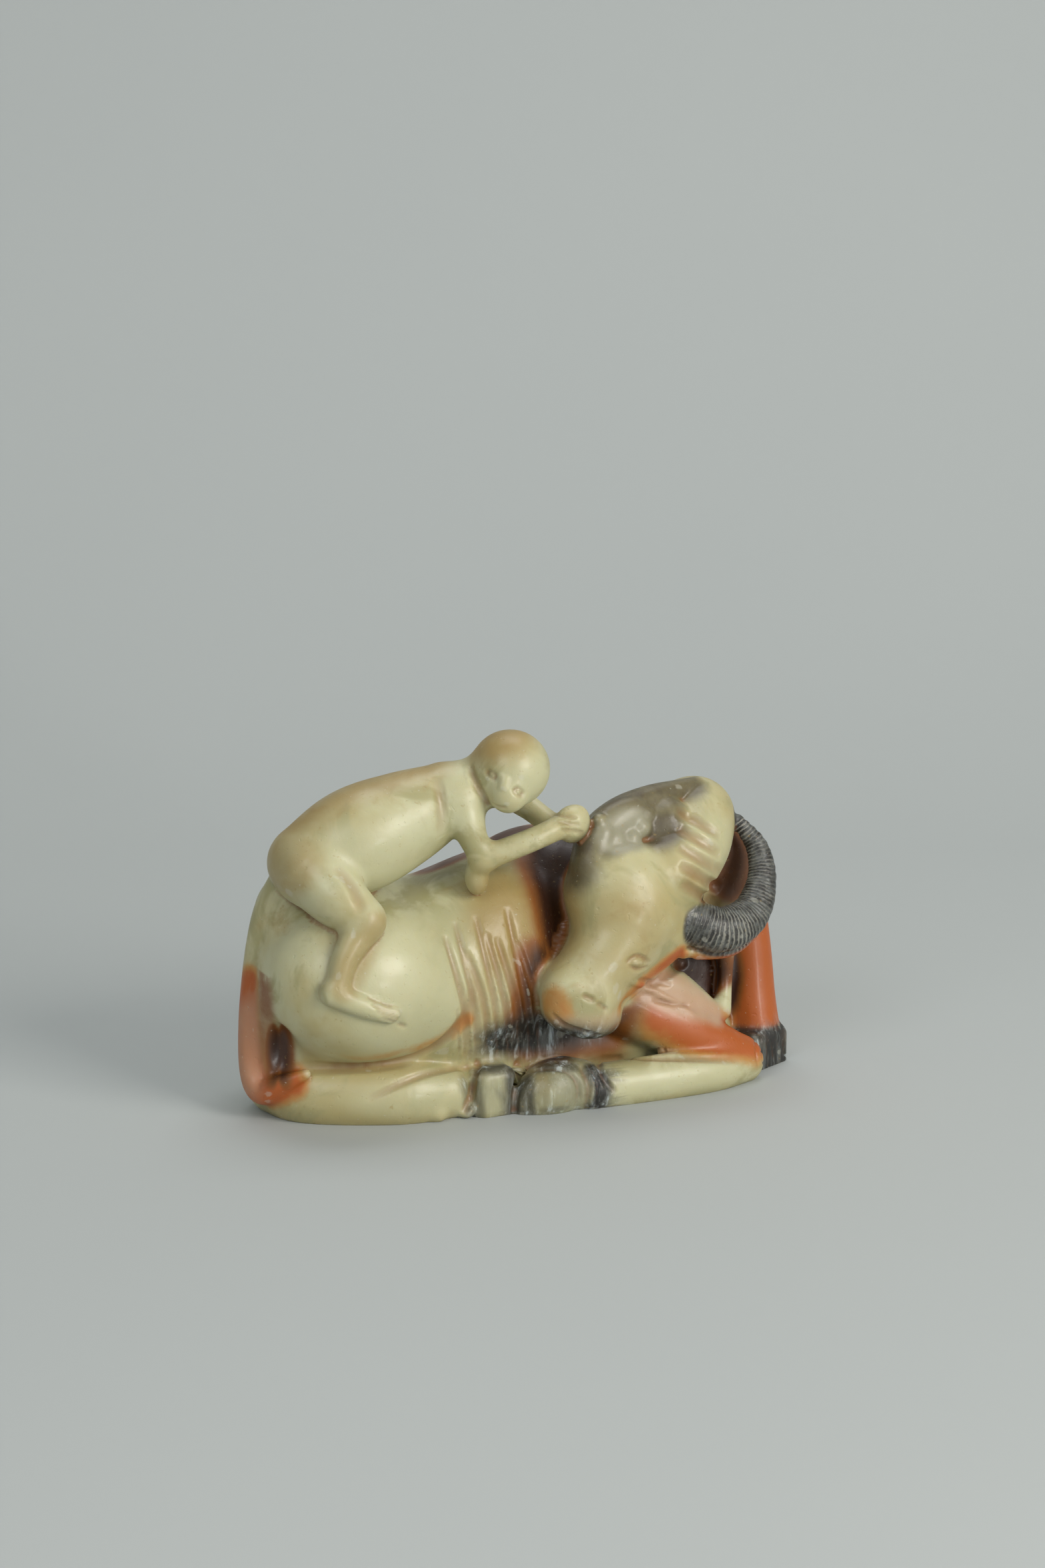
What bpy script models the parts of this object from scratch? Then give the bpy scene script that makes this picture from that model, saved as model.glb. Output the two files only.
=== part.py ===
"""A small soapstone carving: a bare monkey leaning over the back of a resting water buffalo.

The stone is one piece. It is shaped like clay on an armature: lumps and tapering limbs are laid down
and melted into one skin, the skin is drawn onto the exact blended surface of all of them, and strokes
are cut into it. Metres, +Z up. +X runs from the rump to the chest, and the two faces look to -Y.
"""

import math

import bmesh
import bpy
import numpy as np
from mathutils import Euler, Matrix, Vector

LENGTH = 0.070            # rump to far fore hoof
UNIT = LENGTH / 70.0      # the carving is laid out in seventieths of its length

NODE = "buffalo_and_monkey"
GRID = 0.34               # spacing of the skin's points, in units
ROUGH_GRID = 0.7          # the same for the first, rough skin
FACES = 9400              # triangles kept after thinning
STROKE_TRACE = 0.05       # depth from which a stroke counts as carved
STROKE_THINNING = 0.3     # how freely the carved strokes are thinned, from 0 to 1
STROKE_CARE = 1.0         # how much that holds back the thinning
BASE_MERGE = 0.02         # points this near each other at the cut are one

MASS_BLEND = 2.2          # how softly the big masses melt together, in units
HOLLOW_BLEND = 1.5
LIMB_BLEND = 0.9
HEAD_BLEND = 1.5
HORN_BLEND = 0.6
MONKEY_BLEND = 1.2
RIDER_BLEND = 0.4
FADE = 0.75               # how soon a stroke thins out towards its ends
PLAN_STEPS = 4            # points laid between two places of a stroke's plan

SIGHT_TURN = -20.0        # degrees: strokes are laid out as seen from here
SIGHT_TILT = 15.0
SIGHT_RANGE = 549.0       # units from the eye to the middle of the stone
SIGHT_MIDDLE = (0.0, 0.0, 18.0)
SIGHT_NEAR = 60.0         # the stone lies between these ranges before and behind its middle
SIGHT_FAR = 40.0
SIGHT_STEPS = 60
SIGHT_PACE = 0.8          # share of the free gap covered in one step along a line of sight

PROBE = 0.02              # how far from a point the surface's slope is felt
LEAST_SLOPE = 0.05
LONGEST_MOVE = 1.0        # most that a point of the skin moves at once

RIB_PITCH = 1.32          # spacing of the folds behind the ribs, in the sight plane
NECK_PITCH = 2.2          # spacing of the bands on the neck

STONE = (0.62, 0.55, 0.36, 1.0)
ROUGHNESS = 0.3


class Ball:
    """An ellipsoid lump, turned by Euler degrees."""

    def __init__(self, centre, radii, turn=(0, 0, 0)):
        self.centre = np.array(centre, float)
        self.radii = np.array(radii, float) * np.ones(3)
        self.turn = Euler([math.radians(a) for a in turn]).to_matrix()
        reach = self.radii.max()
        self.low = self.centre - reach
        self.high = self.centre + reach

    def distance(self, points):
        local = (points - self.centre) @ np.array(self.turn)
        outer = np.linalg.norm(local / self.radii, axis=1)
        inner = np.linalg.norm(local / self.radii ** 2, axis=1)
        return outer * (outer - 1.0) / np.maximum(inner, 1e-9)

    def lumps(self):
        yield Matrix.LocRotScale(Vector(self.centre), self.turn, Vector(self.radii))


class Block:
    """A box with rounded edges, turned by Euler degrees."""

    def __init__(self, centre, half, rounding, turn=(0, 0, 0)):
        self.centre = np.array(centre, float)
        self.half = np.array(half, float)
        self.rounding = rounding
        self.turn = Euler([math.radians(a) for a in turn]).to_matrix()
        reach = np.linalg.norm(self.half)
        self.low = self.centre - reach
        self.high = self.centre + reach

    def distance(self, points):
        local = np.abs((points - self.centre) @ np.array(self.turn)) - (self.half - self.rounding)
        outside = np.linalg.norm(np.maximum(local, 0.0), axis=1)
        return outside + np.minimum(local.max(axis=1), 0.0) - self.rounding

    def lumps(self):
        yield Matrix.LocRotScale(Vector(self.centre), self.turn, Vector(self.half))


class Limb:
    """A tapering limb through (x, y, z, radius) points, flattened along an axis if asked."""

    def __init__(self, *points, steps=6, flat=None, press=1.0):
        self.path = smooth_path(np.array(points, float), steps)
        self.path[:, 3] = np.maximum(self.path[:, 3], 0.05)
        self.flat = None if flat is None else np.array(flat, float) / np.linalg.norm(flat)
        self.press = press
        reach = self.path[:, 3:]
        self.low = (self.path[:, :3] - reach).min(axis=0)
        self.high = (self.path[:, :3] + reach).max(axis=0)

    def distance(self, points):
        best = np.full(len(points), np.inf)
        for start, end in zip(self.path[:-1], self.path[1:]):
            along = end[:3] - start[:3]
            offset = points - start[:3]
            share = np.clip(offset @ along / max(along @ along, 1e-9), 0.0, 1.0)
            offset = offset - share[:, None] * along
            if self.flat is not None:
                offset = offset + (self.press - 1.0) * (offset @ self.flat)[:, None] * self.flat
            radius = start[3] + share * (end[3] - start[3])
            best = np.minimum(best, np.linalg.norm(offset, axis=1) - radius)
        return best

    def lumps(self):
        for x, y, z, radius in self.path:
            yield Matrix.LocRotScale(Vector((x, y, z)), None, Vector((radius,) * 3))


class Blend:
    """Shapes melted together; cuts are hollows taken out of them with the same softness."""

    def __init__(self, softness, shapes, cuts=()):
        self.softness = softness
        self.shapes = list(shapes)
        self.cuts = list(cuts)
        self.low = np.min([s.low for s in self.shapes], axis=0)
        self.high = np.max([s.high for s in self.shapes], axis=0)

    def distance(self, points):
        total = np.full(len(points), 1e3)
        for shape in self.shapes:
            near = box_gap(shape, points) < total + self.softness
            if near.any():
                total[near] = melt(total[near], shape.distance(points[near]), self.softness)
        for cut in self.cuts:
            near = box_gap(cut, points) < self.softness - total
            if near.any():
                total[near] = -melt(-total[near], cut.distance(points[near]), self.softness)
        return total

    def lumps(self):
        for shape in self.shapes:
            yield from shape.lumps()


class Stroke:
    """A line cut into the surface, or raised where its depth is negative, fading to its ends."""

    def __init__(self, plan, width, depth, fade=True):
        plan = np.array(plan, float)
        self.plan = smooth_path(plan, PLAN_STEPS)
        self.width = width
        self.depth = depth
        self.fade = fade

    def lay(self, path):
        self.path = path
        self.low = path.min(axis=0)
        self.high = path.max(axis=0)

    def bite(self, points):
        best = np.full(len(points), np.inf)
        place = np.zeros(len(points))
        for i, (start, end) in enumerate(zip(self.path[:-1], self.path[1:])):
            along = end - start
            offset = points - start
            share = np.clip(offset @ along / max(along @ along, 1e-9), 0.0, 1.0)
            gap = np.linalg.norm(offset - share[:, None] * along, axis=1)
            nearer = gap < best
            best[nearer] = gap[nearer]
            place[nearer] = (i + share[nearer]) / (len(self.path) - 1)
        strength = np.maximum(1.0 - (best / self.width) ** 2, 0.0) ** 2
        if self.fade:
            strength *= np.clip(4 * place * (1 - place), 0.0, 1.0) ** FADE
        return self.depth * strength


class Carved:
    """A blended surface with strokes cut into it."""

    def __init__(self, surface, strokes):
        self.surface = surface
        self.strokes = strokes
        plans = np.vstack([s.plan for s in strokes])
        laid, met = seen_on(surface, plans)
        first = 0
        for stroke in strokes:
            own = slice(first, first + len(stroke.plan))
            stroke.lay(laid[own][met[own]])
            first += len(stroke.plan)

    def distance(self, points):
        total = self.surface.distance(points)
        for stroke in self.strokes:
            near = box_gap(stroke, points) < stroke.width
            if near.any():
                total[near] += stroke.bite(points[near])
        return total

    def in_stroke(self, points):
        """Which points lie in the carved width of any stroke."""
        found = np.zeros(len(points), bool)
        for stroke in self.strokes:
            near = box_gap(stroke, points) < stroke.width
            if near.any():
                found[near] |= np.abs(stroke.bite(points[near])) > STROKE_TRACE
        return found

    def lumps(self):
        yield from self.surface.lumps()


def box_gap(shape, points):
    """Distance from each point to the box around a shape."""
    outside = np.maximum(np.maximum(shape.low - points, points - shape.high), 0.0)
    return np.linalg.norm(outside, axis=1)


def melt(a, b, softness):
    """The smaller of two distances, rounded where they are alike."""
    overlap = np.maximum(softness - np.abs(a - b), 0.0) / softness
    return np.minimum(a, b) - overlap * overlap * softness * 0.25


def smooth_path(points, steps):
    """Points of a smooth curve through the given rows."""
    padded = np.vstack([2 * points[0] - points[1], points, 2 * points[-1] - points[-2]])
    rows = []
    for i in range(1, len(padded) - 2):
        before, start, end, after = padded[i - 1:i + 3]
        for t in np.arange(steps) / steps:
            rows.append(0.5 * (2 * start + (end - before) * t
                               + (2 * before - 5 * start + 4 * end - after) * t ** 2
                               + (3 * start - before - 3 * end + after) * t ** 3))
    rows.append(points[-1])
    return np.array(rows)


def seen_on(surface, plans):
    """Where lines of sight through (across, up) places in the sight plane meet the surface, and which do."""
    turn, tilt = math.radians(SIGHT_TURN), math.radians(SIGHT_TILT)
    back = np.array([math.sin(turn) * math.cos(tilt), -math.cos(turn) * math.cos(tilt), math.sin(tilt)])
    right = np.array([math.cos(turn), math.sin(turn), 0.0])
    up = np.cross(back, right)
    middle = np.array(SIGHT_MIDDLE)
    eye = middle + SIGHT_RANGE * back
    rays = middle + plans[:, :1] * right + plans[:, 1:] * up - eye
    rays /= np.linalg.norm(rays, axis=1)[:, None]
    travelled = np.full(len(plans), SIGHT_RANGE - SIGHT_NEAR)
    for _ in range(SIGHT_STEPS):
        gap = surface.distance(eye + travelled[:, None] * rays)
        travelled = np.minimum(travelled + SIGHT_PACE * gap, SIGHT_RANGE + SIGHT_FAR)
    return eye + travelled[:, None] * rays, travelled < SIGHT_RANGE + SIGHT_FAR


def buffalo_body():
    """Trunk, belly, croup, withers and both haunches."""
    trunk = Limb((-21.5, 2.8, 14, 10.2), (-12, 1.8, 15.0, 11.9), (-3.5, 2.8, 15.4, 11.5),
                 (6.5, 6.2, 16.5, 9.2), (16, 6.5, 14.5, 8.6), (23, 5.5, 12, 7.0))
    belly = Limb((-24, 1.5, 5, 6.8), (-10, 1.5, 5, 8.0), (8, 2.5, 5, 7.5), (22, 2.5, 5, 6.5))
    croup = Limb((-20, 3, 19, 9.0), (-25.4, 2.5, 23.6, 5.8))
    withers = Ball((5.0, 5.4, 21.6), (12.0, 7.0, 9.6))
    saddle = Ball((-4.0, 1.5, 20.6), (9.0, 8.5, 8.5))
    shoulder = Ball((13, 8, 15), (9, 6.5, 10))
    yoke = Ball((8.6, 0.4, 20.5), (6.0, 5.6, 9.5))
    rump = Limb((-27.4, 3.0, 23.5, 3.6), (-29.5, 3.4, 14, 3.6), (-29.6, 3.0, 5, 3.8))
    hip = Limb((-28.6, 0.2, 22.5, 3.0), (-29.8, -0.2, 14, 3.2), (-29.2, -0.6, 6, 3.2))
    near_haunch = Ball((-20.8, -4.2, 16.6), (12.0, 9.2, 9.8), (0, 8, 0))
    far_haunch = Ball((-19.5, 7, 15), (12, 7.6, 10))
    return Blend(MASS_BLEND, [trunk, belly, croup, withers, saddle, shoulder, yoke, rump,
                              hip, near_haunch, far_haunch])


def buffalo_neck():
    """The neck climbs from the far shoulder, arches over and comes down to the poll."""
    arch = Limb((14, 7.5, 18, 8.6), (19, 7, 25, 7.2), (22.8, 4.4, 30, 5.2),
                (23.6, 0.6, 32.0, 4.5), (21.5, -3.4, 29.6, 4.5), (17.5, -5.5, 26.5, 5.2), steps=10)
    nape = Ball((18.0, 3.0, 30.4), (4.6, 4.4, 4.4))
    side = Limb((24.2, 3.4, 28.6, 3.2), (27.0, 4.2, 25.0, 4.0), (27.6, 4.6, 20.0, 4.4))
    return Blend(MASS_BLEND, [arch, nape, side])


def tail_hollow():
    """The groove between the tail and the near haunch, deepest at its foot."""
    foot = Ball((-31.2, -4.8, 8.6), (1.6, 2.8, 3.6), (0, 0, -20))
    return [foot]


def buffalo_head():
    """Broad forehead turned to the near side, and a long face down to a square muzzle."""
    brow = Ball((11.8, -6.2, 24.4), (8.0, 5.8, 6.8), (0, 30, 0))
    face = Limb((11.5, -6.8, 22, 6.0), (8.2, -8.2, 17.8, 4.9), (4.6, -9.2, 14.4, 4.2), steps=10)
    muzzle = Block((4.4, -9.4, 13.2), (4.3, 3.9, 3.7), 2.9, (0, 22, -8))
    nose = Ball((2.2, -9.9, 15.2), (2.1, 2.7, 1.9))
    lip = Ball((5.0, -9.3, 11.2), (4.1, 3.4, 2.2), (0, 12, 0))
    chin = Ball((6.6, -8.8, 10.8), (3.2, 2.8, 1.9), (0, 8, 0))
    cheek = Limb((15.8, -5.8, 19.8, 4.2), (11.5, -6.5, 15.8, 3.4), (6.5, -8.4, 12.4, 2.6), steps=10)
    return Blend(HEAD_BLEND, [brow, face, muzzle, nose, lip, chin, cheek])


def horns_and_ear():
    """Two crescents that sweep back over the neck, broad at the root, and an ear under the right one."""
    right = Limb((18.8, -7.8, 21.4, 2.7), (23, -8.4, 19.9, 2.8), (27.4, -7.0, 21.0, 2.4),
                 (29.9, -4.8, 24.6, 1.8), (30.0, -3.0, 28.2, 1.4), (28.0, -1.6, 31.4, 0.8),
                 flat=(-0.34, -0.91, 0.22), press=1.25, steps=12)
    left = Limb((7.4, -6.4, 28.8, 2.8), (8.6, -5.2, 31.6, 2.6), (11.8, -3.8, 33.5, 2.5),
                (16.2, -2.2, 34.9, 1.9), (21.0, -0.8, 35.6, 1.3), (23.2, 0.0, 36.0, 0.9), steps=12)
    inner = Ball((11.2, -4.7, 32.8), (4.4, 1.9, 2.9), (0, -28, 0))
    backing = Limb((14.4, -2.6, 31.6, 3.4), (17.8, -3.2, 32.2, 3.3))
    lobes = smooth_path(np.array([(8.2, -6.2, 34.0, 0.9), (8.6, -6.5, 32.4, 1.2), (10.3, -6.5, 31.3, 1.3),
                                  (12.3, -6.3, 31.5, 1.2), (13.8, -5.8, 32.6, 1.1),
                                  (14.8, -5.1, 34.0, 0.8)], float), 1)
    lumps = [Ball(lobe[:3], lobe[3]) for lobe in lobes]
    ear = Limb((19.0, -7.6, 17.0, 0.9), (24.4, -7.2, 16.9, 1.1), (28.6, -5.6, 18.0, 0.6),
               flat=(0.3, 0.4, 1), press=1.3, steps=10)
    return [right, left, inner, backing] + lumps + [ear]


def near_legs():
    """The near legs folded flat along the base."""
    hind = Limb((-29.4, 2.2, 3, 3.6), (-26.4, -2.4, 3, 4.2), (-17.5, -6.2, 3, 4.2),
                (-11.6, -6.8, 2.8, 3.4), steps=10)
    hind_hoof = Block((-6.2, -7.0, 2.6), (2.7, 3.2, 3.2), 1.4, (0, 0, 8))
    fore = Limb((6.6, -9.2, 2.1, 2.8), (15.5, -8.4, 2.1, 2.9), (22, -7.4, 2.1, 2.9),
                (27.2, -5.2, 2.2, 2.8), steps=10)
    fore_hoof = Limb((-2.0, -9.0, 1.0, 2.0), (0.8, -8.8, 2.2, 3.4), (3.0, -8.4, 2.6, 3.4))
    pastern = Ball((5.2, -8.8, 2.4), (2.2, 3.1, 3.0))
    upper_arm = Limb((12, -2.6, 11.0, 4.7), (18.5, -4.4, 7.6, 3.8), (23.0, -5.0, 5.0, 3.0),
                     (27.0, -4.9, 3.1, 2.3), steps=10)
    dewclaws = [Ball((x, -9.0, 0.9), (0.9, 1.3, 0.9)) for x in (-13.2, -9.6)]
    return [hind, hind_hoof, fore, fore_hoof, pastern, upper_arm] + dewclaws


def chest():
    """The upright far foreleg with its hoof, the chest above it and the dewlap's thin strut."""
    far_fore = Limb((31.0, 3.6, 21, 2.6), (31.6, 2.6, 14, 2.6), (31.7, 1.8, 8, 2.8), (32.0, 1.0, 3.5, 2.9),
                    steps=10)
    hoof = Block((31.5, 0.6, 1.8), (3.8, 2.8, 2.8), 1.3, (0, 0, 32))
    front = Limb((20, 5, 20, 6.5), (27, 4.6, 20.5, 4.6), (31, 3.6, 21, 2.8))
    breast = Limb((13.0, -3.4, 14.5, 3.2), (18.0, -3.8, 11.6, 3.0), (23.2, -4.2, 8.6, 1.6), steps=10)
    far_shoulder = Limb((28.8, 3.8, 19, 2.4), (29.6, 3.4, 12, 2.3), (30.2, 2.4, 5, 2.4))
    dewlap = Limb((26.0, -2.6, 17, 1.4), (26.2, -2.4, 12, 0.9), (25.2, -3.8, 8.4, 1.2))
    web = Limb((27.2, 1.8, 29.8, 1.5), (28.8, 1.8, 26.8, 1.9), (29.4, 2.4, 23.0, 2.2))
    return [far_fore, far_shoulder, hoof, front, breast, dewlap, web]


def tail():
    """The tail hangs down the rump and its tuft lies over the hock."""
    return Limb((-28.4, 2, 27.4, 2.0), (-31.0, 1.4, 22.6, 1.8), (-32.7, 0.8, 14, 1.6), (-33.0, 0.4, 6, 1.6),
                (-32.4, -1.6, 3.4, 1.5), (-30.6, -4.2, 5.0, 1.1), (-28.4, -5.9, 6.4, 0.6), steps=10)


def far_legs():
    """The hidden side, plainer: a folded hind leg and the far foreleg's elbow."""
    hind = Limb((-28, 4, 3, 4.0), (-20, 9.5, 3, 4.2), (-10, 10.8, 2.8, 3.4), (-5, 10.6, 2.4, 3.2))
    hoof = Block((-2.6, 10.6, 2.4), (2.4, 2.8, 2.9), 1.3, (0, 0, -4))
    elbow = Limb((14, 9, 9, 5.0), (24, 8, 5, 4.4), (29.5, 4.6, 2.6, 3.2))
    return [hind, hoof, elbow]


def monkey():
    """Bald round head, long back and thin limbs, with both hands brought to the buffalo's horn."""
    torso = Limb((-26.4, -2, 30.8, 4.9), (-20.8, -2, 33.0, 6.3), (-15.4, -2, 35.0, 5.7),
                 (-10.2, -2, 37.0, 4.4), steps=12)
    neck = Limb((-9.0, -2.6, 38.0, 3.5), (-4.6, -4.2, 39.8, 3.1))
    head = Ball((-2.6, -5.2, 41.0), (4.7, 4.7, 4.6))
    jaw = Ball((-3.9, -8.1, 38.5), (2.1, 2.1, 2.1))
    near_arm = Limb((-8.6, -4.2, 37.4, 3.1), (-8.0, -6.2, 34.2, 1.9), (-6.7, -6.6, 31.0, 1.5), steps=10)
    elbow = Ball((-7.0, -5.8, 28.4), (1.4, 1.6, 2.2))
    forearm = Limb((-6.4, -7.1, 30.9, 1.5), (-1.4, -8.0, 32.7, 1.4), (2.0, -7.8, 33.8, 1.4),
                   (4.2, -7.0, 34.4, 1.6), steps=10)
    far_arm = Limb((-6.0, 1.4, 37.2, 2.8), (-1.4, 1.2, 37.0, 2.2), (0.8, -1.6, 35.4, 1.5),
                   (2.6, -4.6, 33.8, 1.4), steps=10)
    hand = Ball((4.9, -6.8, 34.0), (1.8, 1.6, 2.3), (0, 20, 0))
    thigh = Limb((-26.4, -4.4, 30.2, 4.3), (-24.6, -7.9, 27.6, 3.4), (-22.4, -10.2, 25.8, 2.4), steps=10)
    shin = Limb((-22.5, -10.5, 25.2, 2.2), (-25.1, -11.6, 21.8, 1.6), (-26.4, -12.2, 18.6, 1.3), steps=10)
    foot = Limb((-27.2, -12.2, 17.6, 1.3), (-23.6, -13.0, 16.1, 1.35), (-20.2, -13.4, 14.8, 1.0), steps=10)
    far_thigh = Limb((-26.2, 1.0, 30.2, 4.3), (-23.6, 6.4, 28.0, 3.6), (-21.4, 9.6, 25.2, 2.6))
    far_shin = Limb((-21.4, 9.8, 25.0, 2.3), (-24.2, 12.0, 20.6, 1.7), (-25.0, 12.8, 18.0, 1.4), steps=10)
    far_foot = Limb((-25.4, 12.9, 17.2, 1.4), (-22.2, 13.5, 15.8, 1.3), (-19.4, 13.6, 14.8, 1.0), steps=10)
    return Blend(MONKEY_BLEND, [torso, neck, head, jaw, near_arm, elbow, forearm, hand, far_arm,
                                thigh, shin, foot, far_thigh, far_shin, far_foot])


def hide_strokes():
    """Skin folds behind the ribs, bands across the neck and the edge of the haunch."""
    strokes = []
    for i in range(7):
        across = -5.8 + RIB_PITCH * i
        plan = [(across - 2.8, 1.2), (across - 1.4, -3.2), (across - 0.3, -7.8), (across, -13.2)]
        strokes.append(Stroke(plan, 0.72, 0.72))
    for i in range(5):
        up = 15.6 - NECK_PITCH * i
        strokes.append(Stroke([(18.2 + 0.2 * i, up + 0.9), (21.4, up - 0.7), (24.6, up - 2.6)], 1.2, 0.6))
    haunch = [(-25.8, -14.8), (-20.2, -14.6), (-13.8, -13.8), (-9.0, -11.8), (-5.8, -8.2), (-4.8, -4.2)]
    strokes.append(Stroke(haunch, 1.2, 0.75))
    strokes.append(Stroke([(-17.8, -18.6), (-13.8, -16.6), (-9.8, -15.2), (-4.2, -14.4)], 0.8, 0.5))
    return strokes


def hoof_strokes():
    """Clefts and the turned edges round the hooves."""
    return [
        Stroke([(-4.6, -14.2), (-5.2, -17.0), (-6.0, -19.8)], 0.8, 0.8, fade=False),
        Stroke([(0.2, -14.2), (-0.1, -17.4), (-0.2, -20.6)], 0.8, 0.9, fade=False),
        Stroke([(7.6, -14.4), (8.7, -17.0), (8.2, -20.0)], 0.7, 0.6),
        Stroke([(9.8, -14.0), (10.6, -16.2), (12.0, -17.8)], 0.7, 0.6),
        Stroke([(9.8, -13.8), (15.0, -13.6), (22.0, -13.6), (27.0, -13.9)], 0.9, 0.5),
    ]


def face_strokes():
    """Eye, nostrils, mouth and jaw of the buffalo, and the monkey's jaw, hip and shoulder."""
    strokes = [
        Stroke([(21.8, -1.0), (18.2, -3.4), (15.0, -5.4), (12.6, -7.4)], 1.1, 0.8),
        Stroke([(4.2, -8.6), (6.2, -10.2), (10.2, -11.3)], 0.7, 0.5),
        Stroke([(8.2, -6.4), (9.8, -6.8)], 0.7, 0.5, fade=False),
        Stroke([(14.4, -2.0), (14.9, -2.0)], 0.6, -0.25, fade=False),
        Stroke([(13.6, -1.8), (14.7, -1.3), (15.9, -1.9)], 0.45, 0.35),
        Stroke([(13.7, -2.3), (14.7, -2.8), (15.7, -2.4)], 0.45, 0.3),
        Stroke([(-21.8, 9.4), (-19.6, 7.0), (-18.4, 3.8)], 1.1, 0.5),
        Stroke([(-9.6, 20.2), (-9.0, 17.0), (-8.9, 13.0)], 1.1, 0.35),
        Stroke([(-5.6, 21.6), (-4.6, 19.0), (-3.2, 16.6)], 0.8, 0.5),
        Stroke([(-3.2, 20.5), (-2.6, 20.2)], 0.8, 0.35, fade=False),
        Stroke([(0.2, 18.4), (0.8, 18.2)], 0.8, 0.35, fade=False),
        Stroke([(-2.9, 16.9), (-1.9, 16.45), (-1.0, 16.6)], 0.5, 0.3),
    ]
    for i in range(4):
        start = (-18.2 + 0.5 * i, -6.4 - 0.75 * i)
        strokes.append(Stroke([start, (start[0] + 2.8, start[1] - 1.2)], 0.45, 0.35, fade=False))
    return strokes


def carving():
    """The whole stone as one blended surface with its strokes."""
    pocket = Ball((5.4, -7.6, 23.0), (3.6, 4.4, 8.6))
    body = Blend(MASS_BLEND, [buffalo_body(), buffalo_neck()], [pocket])
    rump = Blend(HOLLOW_BLEND, [body], tail_hollow())
    beast = Blend(LIMB_BLEND, [rump, buffalo_head(), tail()] + near_legs() + chest() + far_legs())
    horned = Blend(HORN_BLEND, [beast] + horns_and_ear())
    stone = Blend(RIDER_BLEND, [horned, monkey()])
    return Carved(stone, hide_strokes() + hoof_strokes() + face_strokes())


def rough_skin(shapes):
    """A closed skin round balls set along every shape."""
    mesh = bmesh.new()
    bmesh.ops.create_icosphere(mesh, subdivisions=3, radius=1.0)
    ball = bpy.data.meshes.new("ball")
    mesh.to_mesh(ball)
    mesh.free()
    piece = bpy.data.objects.new(NODE, bpy.data.meshes.new(NODE))
    lumps = [piece]
    for place in shapes.lumps():
        lumps.append(bpy.data.objects.new("lump", ball))
        lumps[-1].matrix_world = place
    for lump in lumps:
        bpy.context.scene.collection.objects.link(lump)
    with bpy.context.temp_override(active_object=piece, selected_editable_objects=lumps):
        bpy.ops.object.join()
    remesh(piece, ROUGH_GRID)
    return piece


def remesh(piece, spacing):
    """Even out the skin on a grid."""
    step = piece.modifiers.new("grid", "REMESH")
    step.mode = "VOXEL"
    step.voxel_size = spacing
    bake(piece)


def bake(piece):
    """Replace a piece's mesh by what its modifiers make of it."""
    graph = bpy.context.evaluated_depsgraph_get()
    graph.update()
    result = bpy.data.meshes.new_from_object(piece.evaluated_get(graph))
    piece.modifiers.clear()
    old = piece.data
    piece.data = result
    bpy.data.meshes.remove(old)


def skin_points(piece):
    flat = np.empty(len(piece.data.vertices) * 3, np.float32)
    piece.data.vertices.foreach_get("co", flat)
    return flat.reshape(-1, 3).astype(float)


def draw_onto(piece, surface, rounds):
    """Move every point of the skin along the surface's own slope until it lies on it."""
    points = skin_points(piece)
    probes = PROBE * np.array([(1, -1, -1), (-1, -1, 1), (-1, 1, -1), (1, 1, 1)], float)
    for _ in range(rounds):
        slope = np.zeros_like(points)
        height = np.zeros(len(points))
        for probe in probes:
            value = surface.distance(points + probe)
            slope += value[:, None] * probe
            height += value / len(probes)
        slope /= len(probes) * PROBE * PROBE
        steepness = np.maximum((slope * slope).sum(axis=1), LEAST_SLOPE)
        points -= np.clip(height / steepness, -LONGEST_MOVE, LONGEST_MOVE)[:, None] * slope
    piece.data.vertices.foreach_set("co", points.astype(np.float32).ravel())
    piece.data.update()


def thin_out(piece, surface):
    """Fewer triangles, kept where the surface bends most and in the strokes."""
    carved = surface.in_stroke(skin_points(piece))
    plain = piece.vertex_groups.new(name="plain")
    plain.add(np.flatnonzero(~carved).tolist(), 1.0, "REPLACE")
    plain.add(np.flatnonzero(carved).tolist(), STROKE_THINNING, "REPLACE")
    step = piece.modifiers.new("thin", "DECIMATE")
    step.ratio = FACES / (2.0 * len(piece.data.polygons))
    step.vertex_group = plain.name
    step.vertex_group_factor = STROKE_CARE
    step.use_collapse_triangulate = True
    bake(piece)
    piece.vertex_groups.clear()


def slice_base(piece):
    """Cut the stone flat at the resting plane."""
    mesh = bmesh.new()
    mesh.from_mesh(piece.data)
    everything = mesh.verts[:] + mesh.edges[:] + mesh.faces[:]
    cut = bmesh.ops.bisect_plane(mesh, geom=everything, dist=1e-4, plane_co=(0, 0, 0),
                                 plane_no=(0, 0, -1), clear_outer=True)
    points = [v for v in cut["geom_cut"] if isinstance(v, bmesh.types.BMVert)]
    bmesh.ops.remove_doubles(mesh, verts=points, dist=BASE_MERGE)
    bmesh.ops.triangle_fill(mesh, edges=[e for e in mesh.edges if e.is_boundary], use_beauty=True)
    bmesh.ops.recalc_face_normals(mesh, faces=mesh.faces[:])
    mesh.to_mesh(piece.data)
    mesh.free()


def centre_over_origin(piece):
    """Put the middle of the stone's box over the origin."""
    corners = np.array(piece.bound_box)
    middle = (corners.min(axis=0) + corners.max(axis=0)) / 2
    piece.data.transform(Matrix.Translation((-middle[0], -middle[1], 0.0)))


def stone_material():
    material = bpy.data.materials.new("soapstone")
    material.use_nodes = True
    shader = material.node_tree.nodes["Principled BSDF"]
    shader.inputs["Base Color"].default_value = STONE
    shader.inputs["Roughness"].default_value = ROUGHNESS
    shader.inputs["Metallic"].default_value = 0.0
    return material


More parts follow.
